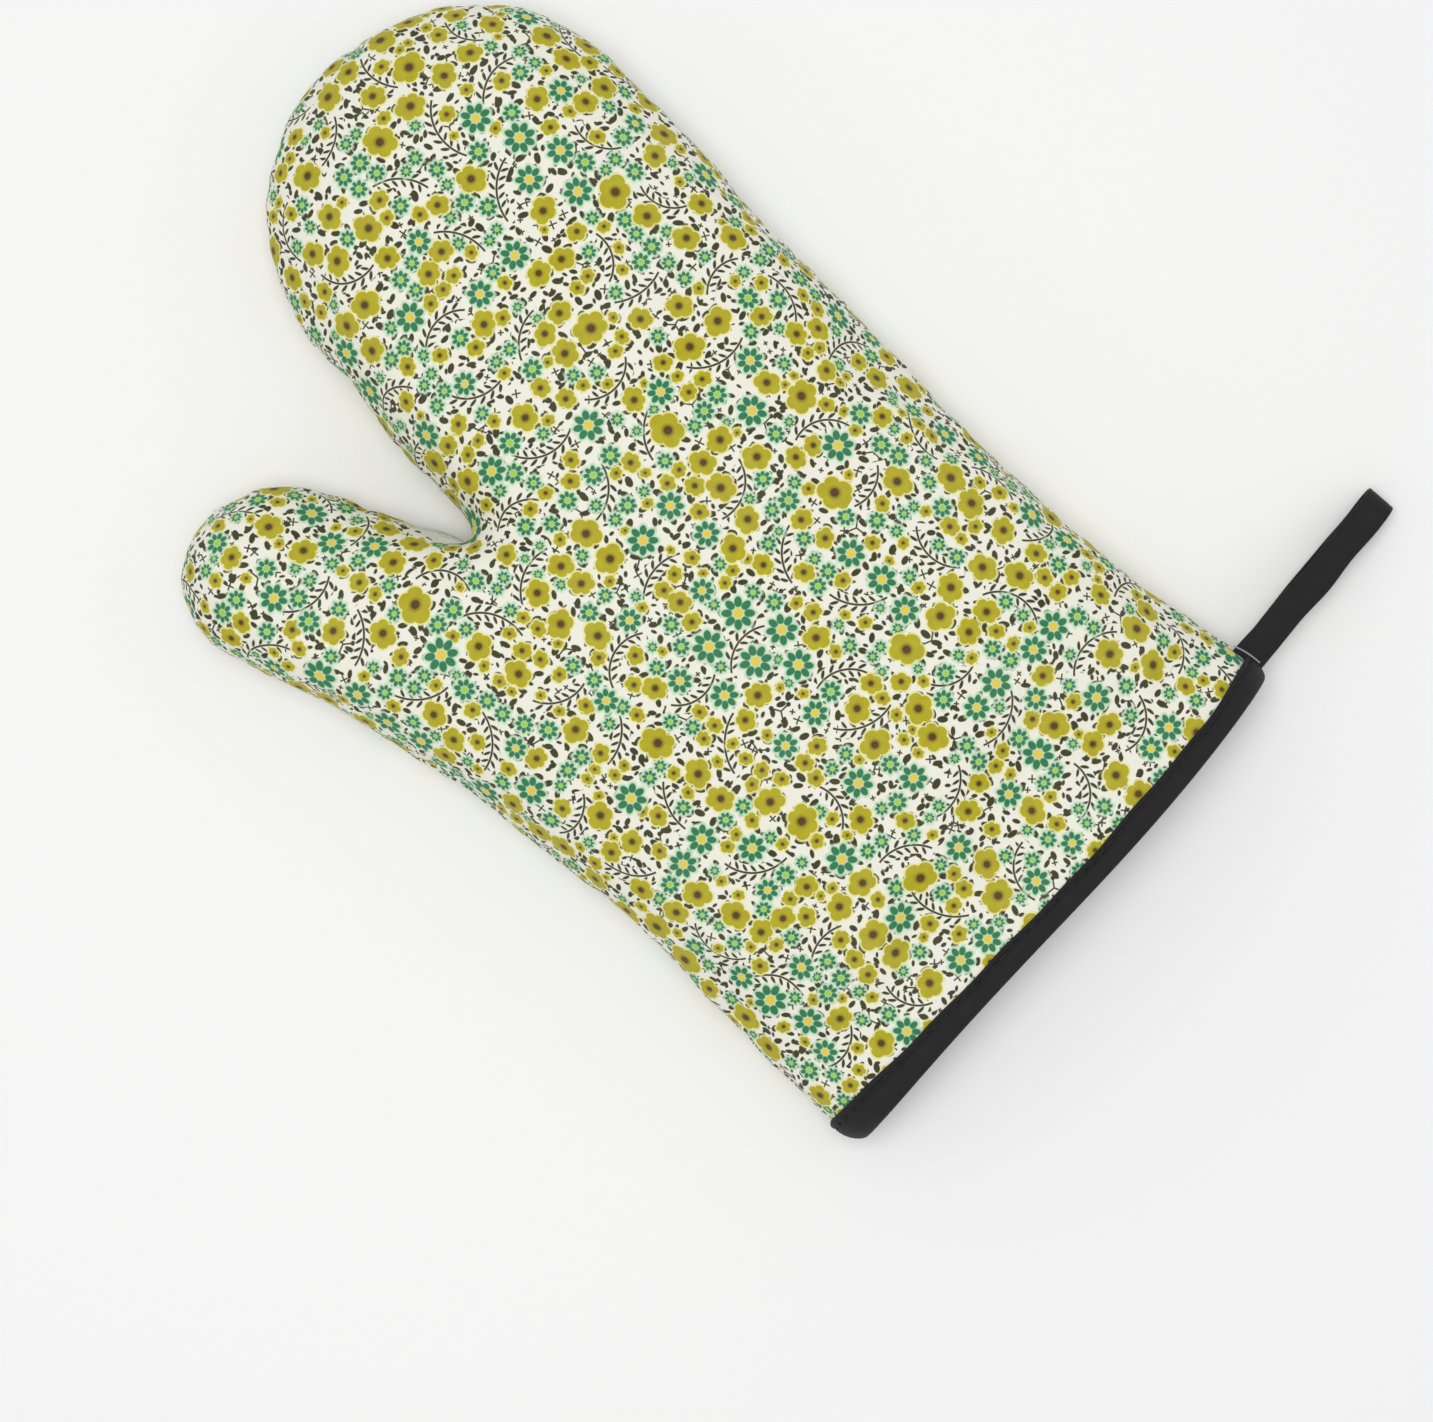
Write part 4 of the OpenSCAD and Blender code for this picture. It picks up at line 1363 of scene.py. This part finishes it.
class Wire:
    """A value on its way through a node tree; arithmetic on it adds the nodes."""

    def __init__(self, tree: bpy.types.NodeTree, socket: bpy.types.NodeSocket) -> None:
        """Holds one output socket."""
        self.tree, self.socket = tree, socket

    def _math(self, operation: str, *others: object) -> "Wire":
        """Adds one Math node on this value and the others."""
        node = self.tree.nodes.new("ShaderNodeMath")
        node.operation = operation
        for slot, value in zip(node.inputs, (self, *others)):
            feed(self.tree, slot, value)
        return Wire(self.tree, node.outputs[0])

    def __add__(self, other: object) -> "Wire":
        """Sum."""
        return self._math("ADD", other)

    def __sub__(self, other: object) -> "Wire":
        """Difference."""
        return self._math("SUBTRACT", other)

    def __mul__(self, other: object) -> "Wire":
        """Product."""
        return self._math("MULTIPLY", other)

    def __truediv__(self, other: object) -> "Wire":
        """Quotient."""
        return self._math("DIVIDE", other)

    def less(self, other: object) -> "Wire":
        """1 where this is less than the other."""
        return self._math("LESS_THAN", other)

    def more(self, other: object) -> "Wire":
        """1 where this is more than the other."""
        return self._math("GREATER_THAN", other)

    def least(self, other: object) -> "Wire":
        """The smaller of the two."""
        return self._math("MINIMUM", other)

    def most(self, other: object) -> "Wire":
        """The larger of the two."""
        return self._math("MAXIMUM", other)

    def wrapped(self, high: float, low: float) -> "Wire":
        """The value folded into a repeating range."""
        return self._math("WRAP", high, low)

    def to_power(self, power: float) -> "Wire":
        """The value to a power."""
        return self._math("POWER", power)

    def magnitude(self) -> "Wire":
        """The value without its sign."""
        return self._math("ABSOLUTE")

    def cosine(self) -> "Wire":
        """Cosine."""
        return self._math("COSINE")

    def sine(self) -> "Wire":
        """Sine."""
        return self._math("SINE")

    def root(self) -> "Wire":
        """Square root."""
        return self._math("SQRT")

    def below(self, edge: object, softness: float) -> "Wire":
        """1 below an edge, 0 above it, with a soft step in between."""
        gap = (Wire._of(self, edge) - self) / softness + 0.5
        node = gap._math("MULTIPLY", 1.0)
        node.socket.node.use_clamp = True
        return node

    @staticmethod
    def _of(like: "Wire", value: object) -> "Wire":
        """A value as a wire in the same tree."""
        if isinstance(value, Wire):
            return value
        return like * 0.0 + value


def feed(tree: bpy.types.NodeTree, socket: bpy.types.NodeSocket, value: object) -> None:
    """Connects a wire to a socket, or sets the socket to a number or a colour."""
    if isinstance(value, Wire):
        tree.links.new(value.socket, socket)
    else:
        socket.default_value = value


@dataclass
class Spot:
    """Polar place of a surface point about a cell's centre, and the cell's own random numbers."""

    dx: Wire
    dy: Wire
    radius: Wire
    turn: Wire
    chance: list[Wire]
    centre: Wire


class ClothNodes:
    """Builds one cloth's material, reading the piece's own pattern coordinates in millimetres."""

    def __init__(self, name: str, roughness: float, sheen: float) -> None:
        """Makes the material with its shader and the pattern coordinates."""
        self.material = bpy.data.materials.new(name)
        self.material.use_nodes = True
        self.tree = self.material.node_tree
        self.shader = self.tree.nodes["Principled BSDF"]
        self.shader.inputs["Roughness"].default_value = roughness
        self.shader.inputs["Sheen Weight"].default_value = sheen
        self.shader.inputs["Sheen Roughness"].default_value = 0.5
        self.shader.inputs["Specular IOR Level"].default_value = 0.25
        uv = self.tree.nodes.new("ShaderNodeUVMap")
        uv.uv_map = "pattern"
        scale = self.tree.nodes.new("ShaderNodeVectorMath")
        scale.operation = "SCALE"
        self.tree.links.new(uv.outputs["UV"], scale.inputs[0])
        scale.inputs["Scale"].default_value = 1 / MM
        self.mm = Wire(self.tree, scale.outputs["Vector"])
        self.x, self.y = self.parts(self.mm)

    def parts(self, vector: Wire) -> tuple[Wire, Wire]:
        """X and Y of a vector."""
        node = self.tree.nodes.new("ShaderNodeSeparateXYZ")
        self.tree.links.new(vector.socket, node.inputs[0])
        return Wire(self.tree, node.outputs[0]), Wire(self.tree, node.outputs[1])

    def moved(self, vector: Wire, x: float, y: float) -> Wire:
        """A vector moved by a fixed amount."""
        node = self.tree.nodes.new("ShaderNodeVectorMath")
        node.operation = "ADD"
        self.tree.links.new(vector.socket, node.inputs[0])
        node.inputs[1].default_value = (x, y, 0)
        return Wire(self.tree, node.outputs["Vector"])

    def cells(self, place: Wire, spacing: float, jitter: float, shift: tuple[float, float],
              feature: str = "F1") -> bpy.types.Node:
        """Scattered cells of a given spacing about a place."""
        node = self.tree.nodes.new("ShaderNodeTexVoronoi")
        node.voronoi_dimensions = "2D"
        node.feature = feature
        node.inputs["Scale"].default_value = 1 / spacing
        node.inputs["Randomness"].default_value = jitter
        self.tree.links.new(self.moved(place, *shift).socket, node.inputs["Vector"])
        return node

    def spot(self, place: Wire, spacing: float, jitter: float, shift: tuple[float, float]) -> Spot:
        """The nearest cell to a place, with the place's polar coordinates about it."""
        node = self.cells(place, spacing, jitter, shift)
        back = self.moved(Wire(self.tree, node.outputs["Position"]), -shift[0], -shift[1])
        px, py = self.parts(place)
        cx, cy = self.parts(back)
        dx, dy = px - cx, py - cy
        colour = self.tree.nodes.new("ShaderNodeSeparateColor")
        self.tree.links.new(node.outputs["Color"], colour.inputs[0])
        chance = [Wire(self.tree, colour.outputs[k]) for k in range(3)]
        return Spot(dx, dy, (dx * dx + dy * dy).root(), dy._math("ARCTAN2", dx), chance, back)

    def roomy_spot(self, place: Wire, spacing: float, jitter: float,
                   shift: tuple[float, float]) -> tuple[Spot, Wire]:
        """The nearest cell to a place, and how far its centre is from the cell's edge."""
        spot = self.spot(place, spacing, jitter, shift)
        edge = self.cells(spot.centre, spacing, jitter, shift, "DISTANCE_TO_EDGE")
        return spot, Wire(self.tree, edge.outputs["Distance"]) * spacing

    def noise(self, place: Wire, size: float, detail: float = 2.0) -> Wire:
        """Smooth noise with features of a given size in millimetres."""
        node = self.tree.nodes.new("ShaderNodeTexNoise")
        node.noise_dimensions = "2D"
        node.inputs["Scale"].default_value = 1 / size
        node.inputs["Detail"].default_value = detail
        self.tree.links.new(place.socket, node.inputs["Vector"])
        return Wire(self.tree, node.outputs["Fac"])

    def blend(self, share: object, low: object, high: object) -> Wire:
        """A colour between two colours."""
        node = self.tree.nodes.new("ShaderNodeMix")
        node.data_type = "RGBA"
        feed(self.tree, node.inputs["Factor"], share)
        feed(self.tree, node.inputs[6], low)
        feed(self.tree, node.inputs[7], high)
        return Wire(self.tree, node.outputs[2])

    def colour(self, value: Wire) -> None:
        """Sets the cloth's colour."""
        self.tree.links.new(value.socket, self.shader.inputs["Base Color"])

    def relief(self, height: Wire, millimetres: float) -> None:
        """Raises the cloth's surface by a height pattern."""
        node = self.tree.nodes.new("ShaderNodeBump")
        node.inputs["Strength"].default_value = 1.0
        node.inputs["Distance"].default_value = millimetres * MM
        self.tree.links.new(height.socket, node.inputs["Height"])
        self.tree.links.new(node.outputs["Normal"], self.shader.inputs["Normal"])

    def plain_weave(self, pitch: float) -> Wire:
        """Height of a plain weave, from 0 to 1: threads over and under in turn."""
        across, down = self.x * (math.pi / pitch), self.y * (math.pi / pitch)
        over = (across.sine() * down.sine()).more(0.0)
        warp = across.cosine().magnitude().to_power(0.6)
        weft = down.cosine().magnitude().to_power(0.6)
        return warp * (over * 0.5 + 0.5) * 0.5 + weft * (over * -0.5 + 1.0) * 0.5


@dataclass(frozen=True)
class MeadowPrint:
    """The shell's printed cotton: small poppies, daisies, leaves and sprigs on a cream ground."""

    ground: tuple[float, ...] = linear(246, 245, 231)
    olive: tuple[float, ...] = linear(194, 187, 18)
    olive_shade: tuple[float, ...] = linear(174, 160, 16)
    heart: tuple[float, ...] = linear(84, 58, 6)
    heart_rim: tuple[float, ...] = linear(140, 118, 8)
    lemon: tuple[float, ...] = linear(240, 235, 160)
    teal: tuple[float, ...] = linear(36, 124, 80)
    mint: tuple[float, ...] = linear(194, 228, 190)
    gold: tuple[float, ...] = linear(234, 210, 78)
    lime: tuple[float, ...] = linear(165, 212, 70)
    leaf: tuple[float, ...] = linear(62, 66, 12)
    leaf_dark: tuple[float, ...] = linear(48, 42, 10)
    sprig_spacing: float = 22.0
    big_spacing: float = 9.9
    big_jitter: float = 0.66
    big_shift: tuple[float, float] = (0.0, 0.0)
    small_spacing: float = 5.3
    small_jitter: float = 0.58
    small_shift: tuple[float, float] = (2.3, 1.1)
    leaf_spacing: float = 3.3
    dot_spacing: float = 2.4
    twig_spacing: float = 17.0
    blur: float = 0.16

    def _sprig(self, cloth: ClothNodes, place: Wire) -> tuple[Wire, Wire, Wire, Wire]:
        """A curved sprig: how far a place is off its stem and past its ends.

        Returns:
            Distance off the stem with sign, distance along it, its half length, and the farther of the two
            distances, which is negative on the sprig.
        """
        spot = cloth.spot(place, self.sprig_spacing, 0.55, (3.1, 7.7))
        angle = spot.chance[0] * TURN
        cos, sin = angle.cosine(), angle.sine()
        u = spot.dx * cos + spot.dy * sin
        v = spot.dy * cos - spot.dx * sin
        bow = spot.chance[1] * 5.0 + 8.5
        away = (u * u + (v + bow) * (v + bow)).root()
        off = away - bow
        along = u._math("ARCTAN2", v + bow) * bow
        half = spot.chance[2] * 2.6 + 6.4
        clear = off.magnitude().most(along.magnitude() - half + 1.2)
        return off, along, half, clear

    def _big(self, cloth: ClothNodes, place: Wire) -> tuple[Spot, Wire]:
        """The nearest large flower to a place and its radius, nothing where a sprig passes."""
        spot, room = cloth.roomy_spot(place, self.big_spacing, self.big_jitter, self.big_shift)
        clear = self._sprig(cloth, spot.centre)[3] - 0.7
        radius = (spot.chance[2] * 1.3 + 3.2).least(room - 0.1).least(clear)
        return spot, radius * radius.more(2.2)

    def _small(self, cloth: ClothNodes, place: Wire) -> tuple[Spot, Wire]:
        """The nearest small flower to a place and its radius, clear of the large ones and the sprigs."""
        spot, room = cloth.roomy_spot(place, self.small_spacing, self.small_jitter, self.small_shift)
        neighbour, neighbour_radius = self._big(cloth, spot.centre)
        apart = neighbour.radius - neighbour_radius - 0.02
        clear = self._sprig(cloth, spot.centre)[3] - 0.45
        radius = (spot.chance[2] + 2.4).least(room - 0.06).least(apart).least(clear)
        return spot, radius * radius.more(1.15)

    def _poppy(self, spot: Spot, radius: Wire) -> Wire:
        """Distance outside a poppy's lobed edge, negative inside."""
        phase = spot.chance[0] * TURN
        petals = spot.chance[1].more(0.72) * 0.5 + 2.5
        lobes = (spot.turn * petals + phase).cosine().magnitude().to_power(0.6) * 0.24
        lean = (spot.turn * 2.0 + phase * 3.0).cosine() * 0.08
        odd = (spot.turn + phase * 2.0).cosine() * 0.06
        return spot.radius - radius * (lobes + lean + odd + 0.75)

    def _daisy(self, spot: Spot, radius: Wire) -> tuple[Wire, Wire]:
        """How far outside a daisy's petals a place is, as a share, and outside its middle."""
        share = spot.radius / radius.most(0.01)
        petal = ((spot.turn + spot.chance[0] * TURN) * (8 / TURN)).wrapped(0.5, -0.5) * (TURN / 8)
        side = petal * share
        outward = (share - 0.68) / 0.32
        across = side / 0.235
        oval = (outward * outward + across * across).root()
        return (oval - 1.0) * radius * 0.19, spot.radius - radius * 0.3

    def _flower(self, cloth: ClothNodes, base: Wire, spot: Spot, radius: Wire, daisies: float) -> Wire:
        """Draws one flower of a layer over a colour.

        Args:
            cloth: the cloth it is printed on.
            base: the colour under it.
            spot: place about the flower's centre.
            radius: the flower's radius in millimetres, 0 for none.
            daisies: share of the flowers that are daisies.

        Returns:
            The colour with the flower on it.
        """
        there = radius.more(0.5)
        is_daisy = spot.chance[1].less(daisies)
        is_poppy = is_daisy * -1.0 + 1.0
        edge = self._poppy(spot, radius)
        halo = edge.below(0.45, 0.5) * there * is_poppy
        body = edge.below(0.0, self.blur) * there * is_poppy
        middle = spot.radius.below(radius * 0.25, 0.4) * body
        ring = spot.radius.below(radius * 0.38, 0.7) * body
        colour = cloth.blend(halo, base, self.lemon)
        olive = cloth.blend(cloth.noise(cloth.mm, 3.0), self.olive_shade, self.olive)
        colour = cloth.blend(body, colour, olive)
        colour = cloth.blend(ring * 0.7, colour, self.heart_rim)
        colour = cloth.blend(middle, colour, self.heart)
        petals, disc = self._daisy(spot, radius)
        glow = spot.radius.below(radius * 1.02 + 0.15, 0.5) * there * is_daisy
        near = petals.below(0.35, 0.5) * there * is_daisy
        ink = petals.below(0.0, self.blur) * there * is_daisy
        core = disc.below(0.0, 0.22) * there * is_daisy
        small = radius.less(2.75)
        colour = cloth.blend(glow * 0.85, colour, self.ground)
        colour = cloth.blend(near, colour, self.mint)
        colour = cloth.blend(ink, colour, self.teal)
        return cloth.blend(core, colour, cloth.blend(small, self.gold, self.lime))

    def _leaves(self, cloth: ClothNodes, spacing: float, shift: tuple[float, float], longest: float,
                scarce: float) -> Wire:
        """Share of ink from scattered oval leaves and small crosses.

        Args:
            cloth: the cloth they are printed on.
            spacing: distance between leaves, in millimetres.
            shift: moves the scatter, so that two uses differ.
            longest: the longest leaf's half length, in millimetres.
            scarce: share of the leaves that are left out.

        Returns:
            1 where there is ink, 0 where there is none.
        """
        spot = cloth.spot(cloth.mm, spacing, 0.62, shift)
        angle = spot.chance[0] * TURN
        cos, sin = angle.cosine(), angle.sine()
        u = spot.dx * cos + spot.dy * sin
        v = spot.dy * cos - spot.dx * sin
        size = spot.chance[1] * (longest * 0.3) + longest * 0.7
        width = size * (spot.chance[2] * 0.22 + 0.46)
        oval = ((u / size) * (u / size) + (v / width) * (v / width)).root()
        leaf = ((oval - 1.0) * width).below(0.0, self.blur)
        slim = (u.magnitude() - size * 0.9).most(v.magnitude() - 0.2)
        cross = slim.least((v.magnitude() - size * 0.9).most(u.magnitude() - 0.2)).below(0.0, self.blur)
        crossed = spot.chance[2].more(0.86)
        some = spot.chance[1].more(scarce)
        return (cross * crossed + leaf * (crossed * -1.0 + 1.0)) * some

    def _twigs(self, cloth: ClothNodes) -> Wire:
        """Share of ink from three-armed twigs with a berry at each tip."""
        spot = cloth.spot(cloth.mm, self.twig_spacing, 0.8, (9.0, 2.0))
        arm = ((spot.turn + spot.chance[0] * TURN) * (3 / TURN)).wrapped(0.5, -0.5) * (TURN / 3)
        out, side = spot.radius * arm.cosine(), (spot.radius * arm.sine()).magnitude()
        stick = (side - 0.21).most(out - 2.3)
        tip_x = out - 2.5
        berry = (tip_x * tip_x + side * side).root() - 0.6
        return stick.least(berry).below(0.0, self.blur)

    def _sprig_ink(self, cloth: ClothNodes) -> Wire:
        """Share of ink from the sprigs: a thin stem with pairs of leaves."""
        off, along, half, _ = self._sprig(cloth, cloth.mm)
        stem = (off.magnitude() - 0.27).most(along.magnitude() - half).below(0.0, self.blur)
        place = (along - off.magnitude() * 0.75).wrapped(1.15, -1.15)
        out = off.magnitude() - 1.15
        oval = ((place / 0.52) * (place / 0.52) + (out / 0.84) * (out / 0.84)).root()
        leaf = ((oval - 1.0) * 0.45).below(0.0, self.blur)
        reach = (along.magnitude() - half + 0.9).below(0.0, 0.1)
        return stem.most(leaf * reach)

    def material(self) -> bpy.types.Material:
        """Makes the material."""
        cloth = ClothNodes("printed_cotton", 0.86, 0.06)
        big, big_radius = self._big(cloth, cloth.mm)
        small, small_radius = self._small(cloth, cloth.mm)
        ink = self._leaves(cloth, self.leaf_spacing, shift=(1.7, 5.2), longest=1.5, scarce=0.03)
        ink = ink.most(self._leaves(cloth, self.dot_spacing, shift=(8.3, 0.4), longest=0.86, scarce=0.36))
        sprig = self._sprig(cloth, cloth.mm)[3]
        open_ground = sprig.below(2.1, 0.2) * -1.0 + 1.0
        ink = (ink * open_ground).most(self._twigs(cloth) * open_ground).most(self._sprig_ink(cloth))
        tone = cloth.blend(cloth.noise(cloth.mm, 6.0), self.leaf_dark, self.leaf)
        colour = cloth.blend(ink, self.ground, tone)
        colour = self._flower(cloth, colour, small, small_radius, daisies=0.5)
        colour = self._flower(cloth, colour, big, big_radius, daisies=0.34)
        weave = cloth.plain_weave(0.42)
        worn = cloth.noise(cloth.mm, 24.0, 3.0)
        # Painted shade: the print is darkened a little where the weave is low, in the hollows between its
        # threads.
        colour = cloth.blend(weave * -0.06 + 0.06, colour, linear(120, 116, 100))
        colour = cloth.blend(worn * 0.04, colour, linear(255, 255, 250))
        cloth.colour(colour)
        cloth.relief(weave * 0.8 + cloth.noise(cloth.mm, 1.6, 3.0) * 0.5, 0.07)
        return cloth.material


@dataclass(frozen=True)
class LiningWeave:
    """White lining cloth in rows of plump yarn, each row set half a yarn along."""

    light: tuple[float, ...] = linear(250, 250, 250)
    shade: tuple[float, ...] = linear(214, 214, 216)
    yarn: float = 1.3
    row: float = 0.95

    def material(self) -> bpy.types.Material:
        """Makes the material."""
        cloth = ClothNodes("lining_cotton", 0.82, 0.10)
        line = cloth.y / self.row
        number = line._math("FLOOR")
        odd = number.wrapped(2.0, 0.0)
        along = (cloth.x / self.yarn + odd * 0.5).wrapped(0.5, -0.5)
        across = (line - number) - 0.5
        round_off = (along * along * 3.2 + across * across * 3.4) * -1.0 + 1.0
        bump = round_off.most(0.0).root()
        # Painted shade: each yarn is lighter on its rounded top and darker towards the hollows between yarns,
        # following the same bump that raises the surface.
        cloth.colour(cloth.blend(bump, self.shade, self.light))
        cloth.relief(bump + cloth.noise(cloth.mm, 0.5) * 0.15, 0.22)
        return cloth.material


@dataclass(frozen=True)
class WaddingFluff:
    """Matt white felted fibre."""

    light: tuple[float, ...] = linear(244, 243, 238)
    shade: tuple[float, ...] = linear(222, 220, 212)

    def material(self) -> bpy.types.Material:
        """Makes the material."""
        cloth = ClothNodes("wadding_fibre", 0.95, 0.3)
        lumps = cloth.noise(cloth.mm, 2.4, 5.0)
        # Painted shade: the fibre is lighter on the lumps and darker in their hollows, the same lumps that
        # raise its surface.
        cloth.colour(cloth.blend(lumps, self.shade, self.light))
        cloth.relief(lumps, 0.5)
        return cloth.material


@dataclass(frozen=True)
class TapeTwill:
    """Black cotton tape with a fine diagonal weave."""

    dark: tuple[float, ...] = linear(25, 25, 26)
    light: tuple[float, ...] = linear(41, 41, 43)
    rib: float = 0.45

    def material(self) -> bpy.types.Material:
        """Makes the material."""
        cloth = ClothNodes("black_tape", 0.78, 0.05)
        slant = (cloth.x + cloth.y * 0.8) * (TURN / self.rib)
        rib = slant.sine() * 0.5 + 0.5
        cut = (cloth.y * (TURN / 0.5)).sine() * 0.2
        dust = cloth.noise(cloth.mm, 5.0, 4.0)
        # Painted light: the tape is lighter along the crests of its twill ribs, which also raise its surface;
        # the dust noise adds a random tone.
        cloth.colour(cloth.blend(rib * 0.45 + dust * 0.5, self.dark, self.light))
        cloth.relief(rib + cut, 0.05)
        return cloth.material


@dataclass(frozen=True)
class SpunThread:
    """Twisted sewing thread."""

    name: str
    dark: tuple[float, ...]
    light: tuple[float, ...]

    def material(self) -> bpy.types.Material:
        """Makes the material."""
        cloth = ClothNodes(self.name, 0.6, 0.05)
        twist = ((cloth.x + cloth.y * 1.6) * (TURN / 0.36)).sine() * 0.5 + 0.5
        # Painted shade: the thread is lighter on the ridges of its twist and darker in its grooves, the same
        # twist that shapes its relief.
        cloth.colour(cloth.blend(twist, self.dark, self.light))
        cloth.relief(twist, 0.04)
        return cloth.material


class FinishRack:
    """One material for each slot, made once."""

    def __init__(self) -> None:
        """Makes the materials."""
        self._materials = {
            "printed_cotton": MeadowPrint().material(),
            "lining_cotton": LiningWeave().material(),
            "wadding": WaddingFluff().material(),
            "black_tape": TapeTwill().material(),
            # Light grey thread for the inner seams and the loop's tack; on the tack the pale colour is partly
            # a painted highlight along the end of the binding.
            "seam_thread": SpunThread("seam_thread", linear(150, 150, 148), linear(196, 196, 192)).material(),
            "black_thread": SpunThread("black_thread", linear(24, 24, 26), linear(58, 58, 62)).material(),
        }

    def dress(self, piece: bpy.types.Object, slot: str) -> None:
        """Gives a piece the material of a slot."""
        piece.data.materials.clear()
        piece.data.materials.append(self._materials[slot])


def settle(piece: bpy.types.Object, body: str, slot: str, nodes: Sequence[str], finishes: FinishRack) -> None:
    """Dresses a piece and puts it on the frame in place of its nodes."""
    finishes.dress(piece, slot)
    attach(piece, body)
    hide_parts(*nodes)
    log.info("made %s", piece.name)


def surface_area(points: np.ndarray, faces: Sequence[Sequence[int]]) -> float:
    """Area of a surface of quads and triangles, in square metres."""
    total = 0.0
    for face in faces:
        a = points[face[0]]
        for i in range(1, len(face) - 1):
            total += np.linalg.norm(np.cross(points[face[i]] - a, points[face[i + 1]] - a)) / 2
    return float(total)


# ---------------------------------------------------------------------------------------------
# Studio
# ---------------------------------------------------------------------------------------------

@dataclass(frozen=True)
class Studio:
    """A pale floor, soft lights and a camera straight above the mitt."""

    aim: tuple[float, float] = (-0.0415, -0.0407)
    above: float = 1.012
    lens: float = 99.2
    turn_degrees: float = -49.1
    world_light: float = 0.5
    key_watts: float = 12.0
    fill_watts: float = 0.8

    def build(self) -> None:
        """Makes the floor, the lights and the camera."""
        self._floor()
        self._lights()
        self._camera()
        bpy.context.scene.view_settings.view_transform = "Standard"

    def _floor(self) -> None:
        """A wide near-white floor just under the mitt."""
        deselect_all()
        bpy.ops.mesh.primitive_plane_add(size=6, location=(0, 0, -0.0002))
        floor = bpy.context.object
        floor.name = "studio_floor"
        bpy.ops.object.transform_apply(location=True, rotation=True, scale=True)
        material = bpy.data.materials.new("floor_paper")
        material.use_nodes = True
        shader = material.node_tree.nodes["Principled BSDF"]
        shader.inputs["Base Color"].default_value = (0.97, 0.97, 0.97, 1)
        shader.inputs["Roughness"].default_value = 0.9
        shader.inputs["Specular IOR Level"].default_value = 0.1
        floor.data.materials.append(material)

    def _area_light(self, name: str, watts: float, size: float, place: tuple[float, float, float]) -> None:
        """A square soft light aimed at the mitt."""
        data = bpy.data.lights.new(name, "AREA")
        data.energy = watts
        data.shape = "SQUARE"
        data.size = size
        lamp = bpy.data.objects.new(name, data)
        lamp.location = place
        lamp.rotation_euler = (Vector((0, 0, 0)) - Vector(place)).to_track_quat("-Z", "Y").to_euler()
        bpy.context.scene.collection.objects.link(lamp)

    def _lights(self) -> None:
        """Soft white surroundings, a broad key and a weaker fill."""
        world = bpy.data.worlds.new("studio_world")
        world.use_nodes = True
        back = world.node_tree.nodes["Background"]
        back.inputs["Color"].default_value = (1, 1, 1, 1)
        back.inputs["Strength"].default_value = self.world_light
        bpy.context.scene.world = world
        self._area_light("key_light", self.key_watts, 0.8, (-0.11, 0.10, 1.6))
        self._area_light("fill_light", self.fill_watts, 1.2, (0.8, -0.6, 1.1))

    def _camera(self) -> None:
        """The camera, looking straight down and turned with the mitt."""
        data = bpy.data.cameras.new("camera")
        data.type = "PERSP"
        data.sensor_width = 36
        data.lens = self.lens
        data.clip_end = 20
        camera = bpy.data.objects.new("camera", data)
        camera.location = (*self.aim, self.above)
        camera.rotation_euler = (0, 0, math.radians(self.turn_degrees))
        bpy.context.scene.collection.objects.link(camera)
        bpy.context.scene.camera = camera


def main() -> None:
    """Builds the mitt in order, then its studio."""
    logging.basicConfig(level=logging.INFO, format="%(message)s")
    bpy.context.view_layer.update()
    pattern, cuff, stitch = MittPattern(), CuffShape(), Stitch()
    finishes = FinishRack()
    skin = MittSkin(pattern, cuff)
    skin.build()
    MittPanels(skin).build(finishes)
    SeamStitching(skin, stitch).build(finishes)
    CuffBinding(pattern, cuff, stitch).build(finishes)
    HangingLoop(pattern).build(finishes)
    Studio().build()


if __name__ == "__main__":
    main()
